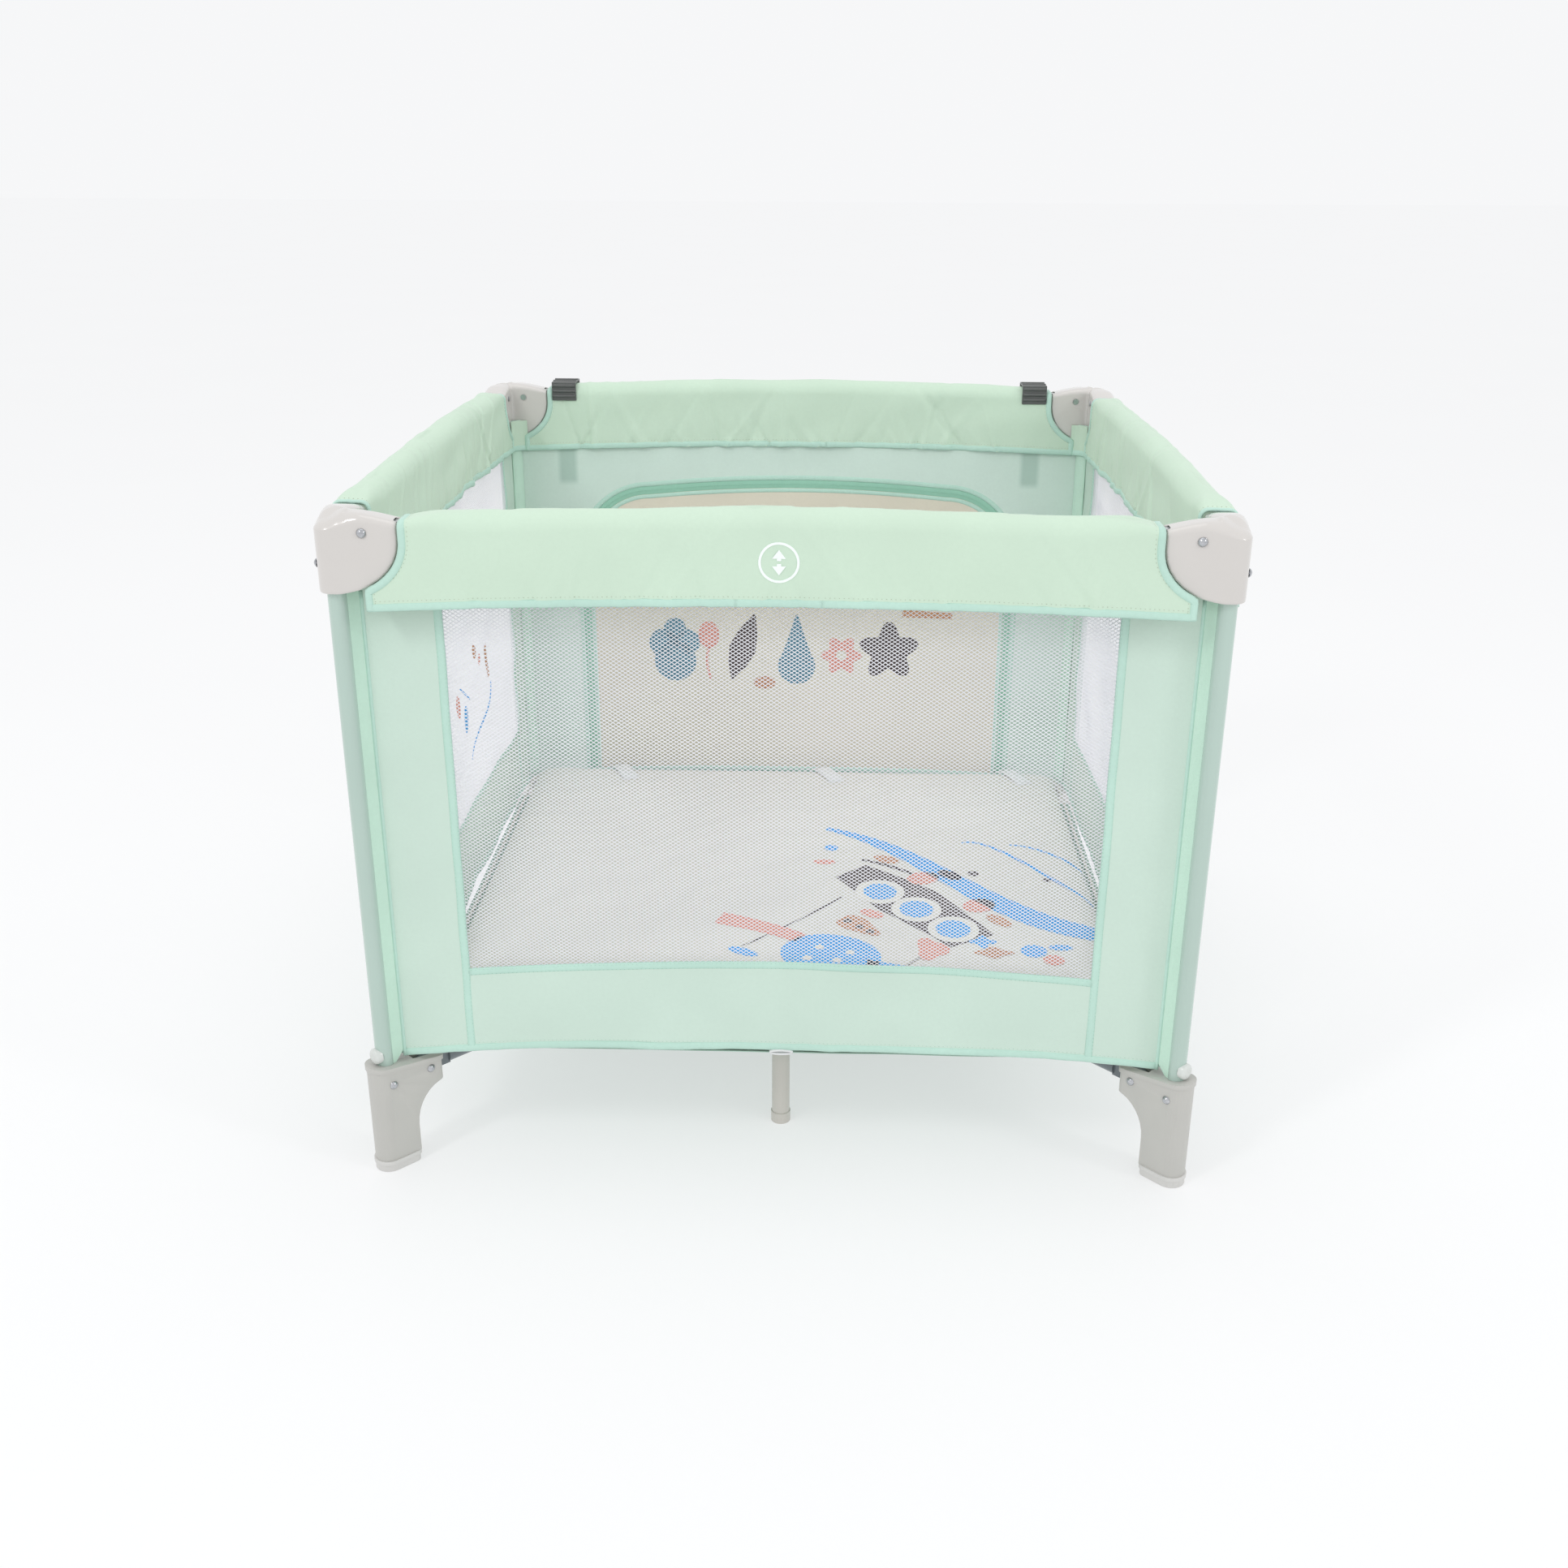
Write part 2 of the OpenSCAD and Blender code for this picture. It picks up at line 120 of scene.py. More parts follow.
def turned(side, points):
    """Points given along a side, outwards from the middle and up, as points in the frame."""
    p = np.asarray(points, float)
    x, y = p[..., 0], -p[..., 1]
    for _ in range(side):
        x, y = -y, x
    return np.stack([x, y, p[..., 2]], -1)


def link(obj):
    bpy.context.scene.collection.objects.link(obj)
    return obj


def piece(name, points, faces, material, smooth=True):
    """A mesh object of points in the frame."""
    mesh = bpy.data.meshes.new(name)
    mesh.from_pydata(np.asarray(points).reshape(-1, 3).tolist(), [], [tuple(map(int, f)) for f in faces])
    mesh.materials.append(material)
    mesh.polygons.foreach_set("use_smooth", [smooth] * len(mesh.polygons))
    mesh.update()
    return link(bpy.data.objects.new(name, mesh))


def grid_faces(rows, columns, start=0, ring=False):
    """Quads between rows of points; with ring, each row's last point joins its first."""
    r, c = np.meshgrid(np.arange(rows - 1), np.arange(columns if ring else columns - 1), indexing="ij")
    n = (c + 1) % columns
    quads = np.stack([r * columns + c, r * columns + n, (r + 1) * columns + n, (r + 1) * columns + c], -1)
    return (quads.reshape(-1, 4) + start).tolist()


class Shape:
    """Points and faces of several parts that make up one piece."""

    def __init__(self):
        self.points, self.faces, self.count = [], [], 0

    def add(self, points, faces):
        points = np.asarray(points, float).reshape(-1, 3)
        self.points.append(points)
        self.faces += [[i + self.count for i in f] for f in faces]
        self.count += len(points)
        return self

    def grid(self, points):
        points = np.asarray(points, float)
        return self.add(points, grid_faces(points.shape[0], points.shape[1]))

    def sweep(self, path, out, section, closed=False):
        """A section of (across, out) offsets carried along a path; out points away from the surface."""
        path = np.asarray(path, float)
        out = np.broadcast_to(np.asarray(out, float), path.shape)
        if closed:
            along = np.roll(path, -1, 0) - np.roll(path, 1, 0)
        else:
            along = np.gradient(path, axis=0)
        along = along / np.linalg.norm(along, axis=1, keepdims=True)
        across = np.cross(out, along)
        across /= np.linalg.norm(across, axis=1, keepdims=True)
        section = np.asarray(section, float)
        points = (path[:, None] + across[:, None] * section[None, :, :1] + out[:, None] * section[None, :, 1:])
        rows, columns = points.shape[:2]
        faces = grid_faces(rows, columns, ring=True)
        if closed:
            faces += [[(rows - 1) * columns + i, (rows - 1) * columns + (i + 1) % columns, (i + 1) % columns, i]
                      for i in range(columns)]
        else:
            faces += [list(range(columns))[::-1], [(rows - 1) * columns + i for i in range(columns)]]
        return self.add(points, faces)

    def stitches(self, path, out, lift, length=0.0030, gap=0.0018, width=0.0007):
        """A row of thread stitches along a path, on both sides of the cloth."""
        path = np.asarray(path, float)
        out = np.broadcast_to(np.asarray(out, float), path.shape)
        run = np.concatenate([[0], np.cumsum(np.linalg.norm(np.diff(path, axis=0), axis=1))])
        starts = np.arange(gap, run[-1] - length, length + gap)
        if not len(starts):
            return self
        along = lambda at, values: np.stack([np.interp(at, run, values[:, k]) for k in range(3)], -1)
        a, b = along(starts, path), along(starts + length, path)
        o = along(starts, out)
        across = np.cross(o, b - a)
        across *= width / 2 / np.linalg.norm(across, axis=1, keepdims=True)
        mid = (a + b) / 2
        points = np.stack([a, mid + across, b, mid - across, mid + o * lift, mid - o * lift], 1)
        shell = [[0, 1, 4], [1, 2, 4], [2, 3, 4], [3, 0, 4], [1, 0, 5], [2, 1, 5], [3, 2, 5], [0, 3, 5]]
        faces = (np.array(shell)[None] + 6 * np.arange(len(starts))[:, None, None]).reshape(-1, 3).tolist()
        return self.add(points, faces)

    def build(self, name, material, smooth=True):
        return piece(name, np.concatenate(self.points), self.faces, material, smooth)


def flat_section(width, rise, edge=0.0016):
    """A folded tape that wraps both faces of the cloth."""
    w = width / 2
    return [(-w, 0), (-w + edge, rise), (0, rise * 1.1), (w - edge, rise),
            (w, 0), (w - edge, -rise), (0, -rise * 1.1), (-w + edge, -rise)]


def round_section(radius):
    return [(radius * math.cos(a), radius * math.sin(a)) for a in np.arange(8) * math.pi / 4]


def merged(obj, distance):
    bm = bmesh.new()
    bm.from_mesh(obj.data)
    bmesh.ops.remove_doubles(bm, verts=bm.verts, dist=distance)
    bmesh.ops.recalc_face_normals(bm, faces=bm.faces)
    bm.to_mesh(obj.data)
    bm.free()
    return obj


def thickened(obj, thickness=CLOTH):
    """Gives a sheet its two faces, with a hard edge round it."""
    bm = bmesh.new()
    bm.from_mesh(obj.data)
    for edge in bm.edges:
        edge.smooth = not edge.is_boundary
    bm.to_mesh(obj.data)
    bm.free()
    solid = obj.modifiers.new("thickness", "SOLIDIFY")
    solid.thickness = thickness
    solid.offset = 0
    solid.use_even_offset = False
    return obj


def applied(obj):
    """Turns an object's modifiers into its mesh."""
    depsgraph = bpy.context.evaluated_depsgraph_get()
    mesh = bpy.data.meshes.new_from_object(obj.evaluated_get(depsgraph))
    obj.modifiers.clear()
    obj.data = mesh
    return obj


def ripples(seed, shortest, longest, stretch=1.0, waves=14):
    """Soft, uneven cloth: a sum of seeded waves of (along, up), of height about 1."""
    rng = np.random.default_rng(seed)
    turn, phase = rng.uniform(0, math.pi, waves), rng.uniform(0, 2 * math.pi, waves)
    k = 2 * math.pi / np.exp(rng.uniform(math.log(shortest), math.log(longest), waves))

    def height(u, z):
        u, z = np.asarray(u, float)[..., None], np.asarray(z, float)[..., None]
        return np.sin(k * (np.cos(turn) * u / stretch + np.sin(turn) * z) + phase).sum(-1) / math.sqrt(waves)

    return height


def creases(seed, count, reach, fade, thin=0.006, thick=0.016):
    """Puckers that rise from a seam and lean to one side, fading with the distance from it."""
    rng = np.random.default_rng(seed)
    at, lean = rng.uniform(-reach, reach, count), rng.uniform(-0.9, 0.9, count)
    size, width = rng.uniform(-1, 1, count), rng.uniform(thin, thick, count)
    length = fade * rng.uniform(0.5, 1.6, count)

    def height(u, away):
        u, away = np.asarray(u, float)[..., None], np.asarray(away, float)[..., None]
        return (size * np.exp(-(((u - at - lean * away) / width) ** 2) - np.clip(away, 0, None) / length)).sum(-1)

    return height


def carry(obj, body, slot):
    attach(obj, body)


def ride_leg(obj, side):
    """A part of a side's wall goes with the corner at the side's left end."""
    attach(obj, "leg_" + CORNERS[side])
    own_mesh(obj)


# ---- materials ----


def rgb(r, g, b):
    """A colour given as it looks on a screen, 0 to 255."""
    return tuple((c / 255 / 12.92) if c <= 10 else (((c / 255) + 0.055) / 1.055) ** 2.4 for c in (r, g, b))


class Nodes:
    """A short way to build a material's node tree."""

    def __init__(self, name):
        self.material = bpy.data.materials.new(name)
        self.material.use_nodes = True
        self.tree = self.material.node_tree
        self.shader = self.tree.nodes["Principled BSDF"]
        self.place = self.add("ShaderNodeTexCoord").outputs["Object"]

    def add(self, kind, **settings):
        node = self.tree.nodes.new(kind)
        for key, value in settings.items():
            setattr(node, key, value)
        return node

    def join(self, source, target):
        """Links a node's output to an input, or to the shader's input of that name."""
        self.tree.links.new(source, self.shader.inputs[target] if isinstance(target, str) else target)

    def math(self, operation, *values):
        node = self.add("ShaderNodeMath", operation=operation)
        for i, value in enumerate(values):
            if isinstance(value, (int, float)):
                node.inputs[i].default_value = value
            else:
                self.join(value, node.inputs[i])
        return node.outputs[0]

    def noise(self, scale, detail=3.0, rough=0.5):
        node = self.add("ShaderNodeTexNoise")
        self.join(self.place, node.inputs["Vector"])
        node.inputs["Scale"].default_value = scale
        node.inputs["Detail"].default_value = detail
        node.inputs["Roughness"].default_value = rough
        return node.outputs["Fac"]

    def axes(self):
        node = self.add("ShaderNodeSeparateXYZ")
        self.join(self.place, node.inputs[0])
        return node.outputs

    def mix(self, factor, a, b):
        node = self.add("ShaderNodeMix", data_type="RGBA")
        for socket, value in ((node.inputs["Factor"], factor), (node.inputs["A"], a), (node.inputs["B"], b)):
            if isinstance(value, tuple):
                socket.default_value = (*value, 1)
            elif isinstance(value, (int, float)):
                socket.default_value = value
            else:
                self.join(value, socket)
        return node.outputs["Result"]

    def ramp(self, value, start, end, to_min=0.0, to_max=1.0):
        node = self.add("ShaderNodeMapRange")
        self.join(value, node.inputs["Value"])
        for name, number in (("From Min", start), ("From Max", end), ("To Min", to_min), ("To Max", to_max)):
            node.inputs[name].default_value = number
        return node.outputs["Result"]

    def bump(self, height, strength, distance):
        node = self.add("ShaderNodeBump")
        node.inputs["Strength"].default_value = strength
        node.inputs["Distance"].default_value = distance
        self.join(height, node.inputs["Height"])
        self.join(node.outputs["Normal"], "Normal")

    def set(self, **values):
        names = {"rough": "Roughness", "metal": "Metallic", "sheen": "Sheen Weight",
                 "sheen_rough": "Sheen Roughness", "coat": "Coat Weight",
                 "coat_rough": "Coat Roughness", "specular": "Specular IOR Level"}
        for key, value in values.items():
            self.shader.inputs[names[key]].default_value = value
        return self


def shade(colour, factor):
    return tuple(c * factor for c in colour)


def woven(name, colour, rough=0.62, thread=0.0009, weave=0.25, worn=0.05, painted_shadow=None):
    """Coated woven cloth: a plain weave, soft mottling and a little sheen."""
    n = Nodes(name)
    x, y, z = n.axes()
    k = 2 * math.pi / (2 * thread)
    along = n.math("SINE", n.math("MULTIPLY", n.math("ADD", x, y), k))
    up = n.math("SINE", n.math("MULTIPLY", n.math("ADD", z, n.math("MULTIPLY", y, 0.5)), k))
    threads = n.math("MULTIPLY", along, up)
    mottle = n.ramp(n.noise(9, 4), 0.3, 0.7)
    slub = n.ramp(n.noise(240, 2), 0.3, 0.7)
    shaded = n.mix(mottle, shade(colour, 1 - worn), shade(colour, 1 + worn * 0.6))
    base = n.mix(n.math("MULTIPLY", slub, 0.35), shaded, shade(colour, 1 - 2 * worn))
    # A painted shadow, when given, darkens the colour where shade would fall on the cloth.
    if painted_shadow:
        base = painted_shadow(n, base)
    n.join(base, "Base Color")
    n.join(n.ramp(mottle, 0, 1, rough - 0.05, rough + 0.05), "Roughness")
    height = n.math("ADD", n.math("MULTIPLY", threads, 0.5), slub)
    n.bump(height, weave, 0.0003)
    n.set(sheen=0.12, sheen_rough=0.4, specular=0.35)
    return n.material


def moulded(name, colour, rough=0.3, coat=0.0, depth=0.12, vary=0.03):
    """Injection-moulded plastic: a fine grain and faint flow marks."""
    n = Nodes(name)
    flow = n.ramp(n.noise(14, 3), 0.3, 0.7)
    n.join(n.mix(flow, shade(colour, 1 - vary), shade(colour, 1 + vary)), "Base Color")
    scuff = n.ramp(n.noise(60, 5, 0.7), 0.55, 0.8)
    n.join(n.ramp(scuff, 0, 1, rough, min(rough + 0.12, 1)), "Roughness")
    n.bump(n.noise(900, 2), depth, 0.0002)
    n.set(coat=coat, coat_rough=0.08, specular=0.5)
    return n.material


def painted(name, colour, rough=0.28, coat=0.4):
    """Powder-coated or painted steel tube: orange peel under a thin gloss."""
    n = Nodes(name)
    tone = n.ramp(n.noise(5, 3), 0.35, 0.65)
    n.join(n.mix(tone, shade(colour, 0.98), shade(colour, 1.02)), "Base Color")
    n.join(n.ramp(n.noise(90, 4), 0.3, 0.8, rough - 0.03, rough + 0.05), "Roughness")
    n.bump(n.noise(420, 2), 0.05, 0.0002)
    n.set(coat=coat, coat_rough=0.12)
    return n.material


def chromed(name):
    n = Nodes(name)
    haze = n.noise(180, 4, 0.7)
    n.join(n.mix(n.ramp(haze, 0.3, 0.7), rgb(166, 168, 172), rgb(206, 208, 212)), "Base Color")
    n.join(n.ramp(haze, 0.3, 0.8, 0.05, 0.14), "Roughness")
    n.set(metal=1.0)
    return n.material


def thread_like(name, colour, scale=1400):
    """Sewing thread, net yarn and printed ink: a fine twist."""
    n = Nodes(name)
    twist = n.noise(scale, 2)
    n.join(n.mix(twist, shade(colour, 0.93), shade(colour, 1.05)), "Base Color")
    n.bump(twist, 0.2, 0.0002)
    n.set(rough=0.6, sheen=0.1, specular=0.35)
    return n.material


def strap_shadow(n, base):
    """Painted shadow: the back wall's cloth is darkened where the webbing hangs behind it, standing in for the shade
    the webbing casts through the thin cloth.
    """
    x, _, z = n.axes()
    across = n.math("ABSOLUTE", n.math("SUBTRACT", n.math("ABSOLUTE", x), STRAP_X))
    beside = n.ramp(across, STRAP_W / 2 - 0.003, STRAP_W / 2 + 0.005, 1, 0)
    above = n.ramp(z, STRAP_LOW - 0.006, STRAP_LOW + 0.004, 0, 1)
    seen = n.math("MULTIPLY", n.math("MULTIPLY", beside, above), 0.42)
    # Painted shadow: over the strap's mask, the cloth's colour is pulled towards this dark green.
    return n.mix(seen, base, rgb(120, 160, 146))


M = {
    "cover": woven("mint_cover", rgb(204, 226, 206), worn=0.03, weave=0.15),
    "wall": woven("mint_wall", rgb(203, 224, 211), worn=0.03, weave=0.2),
    # Painted light: the back wall is the same cloth as the other walls, given a lighter colour so that its shaded
    # inner face shows brighter.
    "back": woven("mint_back_wall_painted_light", rgb(212, 231, 221), worn=0.035, weave=0.2, painted_shadow=strap_shadow),
    "tape": woven("mint_tape", rgb(192, 226, 212), thread=0.0006, weave=0.4, rough=0.5),
    "gusset": woven("mint_gusset", rgb(202, 232, 215), worn=0.04),
    "zip_band": woven("zip_band", rgb(156, 206, 184), thread=0.0007, weave=0.5),
    "door": woven("beige_door", rgb(226, 219, 202), worn=0.03),
    "base": woven("base_cloth", rgb(176, 205, 190), worn=0.05),
    "mattress": woven("mattress_cloth", rgb(222, 220, 212), thread=0.0012, weave=0.35, worn=0.03),
    "webbing": woven("webbing", rgb(96, 104, 102), thread=0.0011, weave=0.8, rough=0.7),
    "label": woven("white_tape", rgb(232, 234, 234), thread=0.0008, weave=0.4),
    "net": thread_like("net_yarn", rgb(246, 246, 252)),
    "thread": thread_like("mint_thread", rgb(118, 176, 148)),
    "thread_warm": thread_like("warm_thread", rgb(150, 150, 128)),
    "cap": moulded("cap_plastic", rgb(208, 204, 200), rough=0.2, coat=0.8, depth=0.03, vary=0.015),
    "foot": moulded("foot_plastic", rgb(192, 191, 186), rough=0.42, vary=0.02),
    "sole": moulded("sole_plastic", rgb(208, 207, 204), rough=0.5, vary=0.02),
    "rivet": moulded("rivet_plastic", rgb(214, 218, 214), rough=0.3, coat=0.2, depth=0.04),
    "clip": moulded("clip_plastic", rgb(92, 94, 93), rough=0.38, depth=0.2),
    "lock": moulded("lock_plastic", rgb(96, 100, 102), rough=0.45),
    "button": moulded("button_plastic", rgb(188, 96, 84), rough=0.35, coat=0.2),
    "zip": moulded("zip_plastic", rgb(104, 112, 110), rough=0.35),
    "leg": painted("leg_paint", rgb(176, 198, 188), rough=0.2, coat=0.8),
    "rail": painted("rail_paint", rgb(176, 180, 181)),
    "strut": painted("strut_paint", rgb(108, 116, 121), rough=0.34),
    "support": painted("support_paint", rgb(200, 196, 189), rough=0.34, coat=0.25),
    "hub": moulded("hub_plastic", rgb(78, 82, 84), rough=0.5),
    "chrome": chromed("screw_chrome"),
}
INKS = {"blue": (44, 166, 242), "teal": (84, 134, 156), "coral": (226, 148, 130), "brown": (196, 140, 100),
        "dark": (70, 58, 56), "white": (244, 250, 248), "pale": (228, 226, 218)}
for ink, colour in INKS.items():
    M["ink_" + ink] = thread_like("print_" + ink, rgb(*colour), 300)


def dressed(obj, key):
    """Gives a mesh one material and smooth faces."""
    obj.data.materials.clear()
    obj.data.materials.append(M[key])
    obj.data.polygons.foreach_set("use_smooth", [True] * len(obj.data.polygons))
    obj.data.update()
    return obj


# ---- frame: plastic and metal ----


def paint(prefix, key):
    for name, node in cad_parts.items():
        if name.startswith(prefix):
            node.data.materials.clear()
            node.data.materials.append(M[key])


def rounded(node, body, key, slot, width, segments=2):
    """A CAD part again, with its hard edges moulded round."""
    obj = link(bpy.data.objects.new(node + "_moulding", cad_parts[node].data.copy()))
    bm = bmesh.new()
    bm.from_mesh(obj.data)
    bmesh.ops.remove_doubles(bm, verts=bm.verts, dist=0.00001)
    bmesh.ops.dissolve_limit(bm, angle_limit=math.radians(1.5), verts=bm.verts, edges=bm.edges)
    bm.to_mesh(obj.data)
    bm.free()
    dressed(obj, key)
    bevel = obj.modifiers.new("edges", "BEVEL")
    bevel.width = width
    bevel.segments = segments
    bevel.limit_method = "ANGLE"
    bevel.angle_limit = math.radians(30)
    bevel.harden_normals = True
    carry(obj, body, slot)
    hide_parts(node)
    return obj


def cap_shell(n):
    """A corner cap moulded soft: the CAD cap with its slots closed on top, its crest arched and its edges rounded."""
    node = "cap_" + CORNERS[n]
    bm = bmesh.new()
    bm.from_mesh(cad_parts[node].data)
    slot_start, slot_step, slot_half = 0.018, 0.044, 0.010  # the open slots for the rails, from the tube's axis
    bar_top, wing_top, end_top = RAIL_Z + 0.0103, RAIL_Z + 0.0139, high(node).z - 0.0081
    for swap in (False, True):
        corners = []
        for x, top in ((slot_start, wing_top), (slot_step, wing_top), (CAP_WING - 0.0002, end_top)):
            for y in (-slot_half, slot_half):
                for z in (bar_top, top):
                    a, b = (y, x) if swap else (x, y)
                    corners.append(Vector(turned(n, (a - CORNER, CORNER - b, z))))
        bmesh.ops.convex_hull(bm, input=[bm.verts.new(c) for c in corners])
    mesh = bpy.data.meshes.new(node + "_moulding")
    bm.to_mesh(mesh)
    bm.free()
    obj = link(bpy.data.objects.new(node + "_moulding", mesh))
    remesh = obj.modifiers.new("remesh", "REMESH")
    remesh.mode = "VOXEL"
    remesh.voxel_size = 0.0013
    soften = obj.modifiers.new("soften", "SMOOTH")
    soften.iterations = 12
    soften.factor = 0.5
    applied(obj)
    points = np.array([v.co for v in obj.data.vertices])
    away = points @ np.array([turned(n, (1, 0, 0)), -turned(n, (0, 1, 0)), (0, 0, 1)]).T + (CORNER, CORNER, 0)
    x, y, z = away.T
    across = np.minimum(np.hypot(np.minimum(x, 0), y), np.hypot(x, np.minimum(y, 0))) / 0.017
    upper = np.clip((z - CAP_SPRING) / 0.027, 0, 1) ** 1.5
    outside = np.clip((0.018 - (x + y) / math.sqrt(2)) / 0.035, 0, 1)
    arch = np.sin(math.pi * np.clip(np.maximum(x, y) / CAP_WING, 0, 1))
    points[:, 2] += upper * (0.0045 * arch - 0.0065 * np.clip(across, 0, 1) ** 4
                             - 0.010 * outside ** 2 * (3 - 2 * outside))
    obj.data.vertices.foreach_set("co", points.ravel())
    dressed(obj, "cap")
    carry(obj, "leg_" + CORNERS[n], "cap_plastic")
    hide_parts(node)


def rivet(n):
    """The snap rivet on the outer side of a corner tube, just above its foot."""
    profile = [(0.0096, -0.003), (0.0096, 0.0030), (0.0086, 0.0048), (0.0056, 0.0060), (0.0034, 0.0052)]
    turns, height = 24, 0.151
    out = turned(n, (-1, 1, 0)) / math.sqrt(2)
    across = turned(n, (1, 1, 0)) / math.sqrt(2)
    middle = turned(n, (-CORNER, CORNER, height)) + out * (TUBE_R - 0.001)
    rows = [[middle + out * h + (across * math.cos(a) + np.array((0, 0, 1)) * math.sin(a)) * r
             for a in np.arange(turns) * 2 * math.pi / turns] for r, h in profile]
    points = np.array(rows).reshape(-1, 3)
    faces = grid_faces(len(rows), turns, ring=True)
    faces.append([(len(rows) - 1) * turns + i for i in range(turns)])
    obj = piece("rivet_" + CORNERS[n], points, faces, M["rivet"])
    carry(obj, "leg_" + CORNERS[n], "cap_plastic")


def clip_ribs(end):
    """Three flat ridges along a clip, over its top and down both sides."""
    node = "clip_back_" + end
    a, b = low(node), high(node)
    along = np.linspace(a.x + 0.001, b.x - 0.001, 8)
    ribs = Shape()
    for height in (0.25, 0.53, 0.81):
        z = a.z + (b.z - a.z) * height
        for y, out in ((a.y, -1), (b.y, 1)):
            ribs.sweep([(x, y, z) for x in along], (0, out, 0), flat_section(0.0058, 0.0016))
    for share in (0.3, 0.7):
        ribs.sweep([(x, a.y + (b.y - a.y) * share, b.z) for x in along], (0, 0, 1), flat_section(0.0058, 0.0014))
    carry(ribs.build("clip_ribs_" + end, M["clip"]), "rail_back_" + end, "clip_plastic")


def hard_parts():
    for prefix, key in (("tube_", "leg"), ("rail_", "rail"), ("strut_", "strut"), ("support_", "support"),
                        ("hub", "hub"), ("hub_pins", "chrome"), ("screws_", "chrome"), ("hub_strap", "webbing"),
                        ("lock_", "lock"), ("button_", "button")):
        paint(prefix, key)
    ride_leg(rounded("zip_slider", "leg_" + CORNERS[BACK], "zip", "zip_plastic", 0.0008), BACK)
    for n, corner in enumerate(CORNERS):
        cap_shell(n)
        rounded("foot_" + corner, "leg_" + corner, "foot", "foot_plastic", 0.0010)
        rounded("sole_" + corner, "leg_" + corner, "sole", "sole_plastic", 0.0014)
        rivet(n)
    for end in "lr":
        rounded("clip_back_" + end, "rail_back_" + end, "clip", "clip_plastic", 0.0014, 3)
        clip_ribs(end)


# ---- walls ----


def hem_z(u):
    return WALL_LOW + HEM_RISE * (1 - np.abs(u / WALL_END) ** 3)


def window_z(u):
    return WINDOW_LOW - WINDOW_ARCH * (np.asarray(u) / WINDOW) ** 2


def wall_top(u):
    """Upper edge of a wall: level, and cut round the caps at both ends."""
    from_corner = CORNER - np.abs(u)
    room = CAP_WING + 0.0035
    round_cap = CAP_SPRING - (CAP_DROP + 0.0035) * np.sqrt(np.clip(1 - (from_corner / room) ** 2, 0, 1))
    return np.where(from_corner < room, np.minimum(round_cap, WALL_TOP), WALL_TOP)


CALM_TOP = 0.70  # above this height the rail covers hold the cloth flat
WALL_RIPPLES = [ripples(40 + side, 0.07, 0.24, stretch=1.6) for side in range(4)]
WALL_CREASES = [creases(60 + side, 26, 0.43, 0.05) for side in range(4)]


def wall_point(side, u, z, lift=0.0):
    """A point of a wall's cloth in the frame; u runs along the side."""
    u, z = np.broadcast_arrays(np.asarray(u, float), np.asarray(z, float))
    away = z - hem_z(u)
    free = np.clip((CALM_TOP - z) / 0.06, 0, 1) * np.clip((WALL_END - np.abs(u)) / 0.03, 0.0, 1)
    wave = 0.0013 * WALL_RIPPLES[side](u, z) + 0.0011 * WALL_CREASES[side](u, away)
    if side == BACK:
        wave = wave * np.clip((np.abs(u) - DOOR + 0.05) / 0.05 + np.clip((z - DOOR_TOP) / 0.03, 0, 1), 0.12, 1)
    return turned(side, np.stack([u, WALL_D + free * wave + lift, z], -1))


def outwards(side):
    return turned(side, (0, 1, 0))


def lines(a, b, count):
    """count points from (u, z) a to b."""
    t = np.linspace(0, 1, count)
    return a[0] + (b[0] - a[0]) * t, a[1] + (b[1] - a[1]) * t


def edge_run(sign, u):
    """A vertical run at u from the hem to the wall's upper edge."""
    return lines((sign * u, float(hem_z(u))), (sign * u, float(wall_top(u)) - 0.002), 60)


def window_wall(side):
    """Cloth round a mesh window: two side strips and a bottom band."""
    cloth = Shape()
    for sign in (-1, 1):
        u = sign * np.linspace(WINDOW, WALL_END, 14)
        t = np.linspace(0, 1, 70)[:, None]
        z = hem_z(u) + t * (wall_top(u) - hem_z(u))
        cloth.grid(wall_point(side, u[None, :] + 0 * t, z))
    u = np.linspace(-WINDOW, WINDOW, 110)
    t = np.linspace(0, 1, 18)[:, None]
    cloth.grid(wall_point(side, u[None, :] + 0 * t, hem_z(u) + t * (window_z(u) - hem_z(u))))
    obj = thickened(merged(cloth.build(f"wall_{SIDES[side]}_cloth", M["wall"]), 0.0002))
    ride_leg(obj, side)
    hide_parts("wall_" + SIDES[side])
    return obj


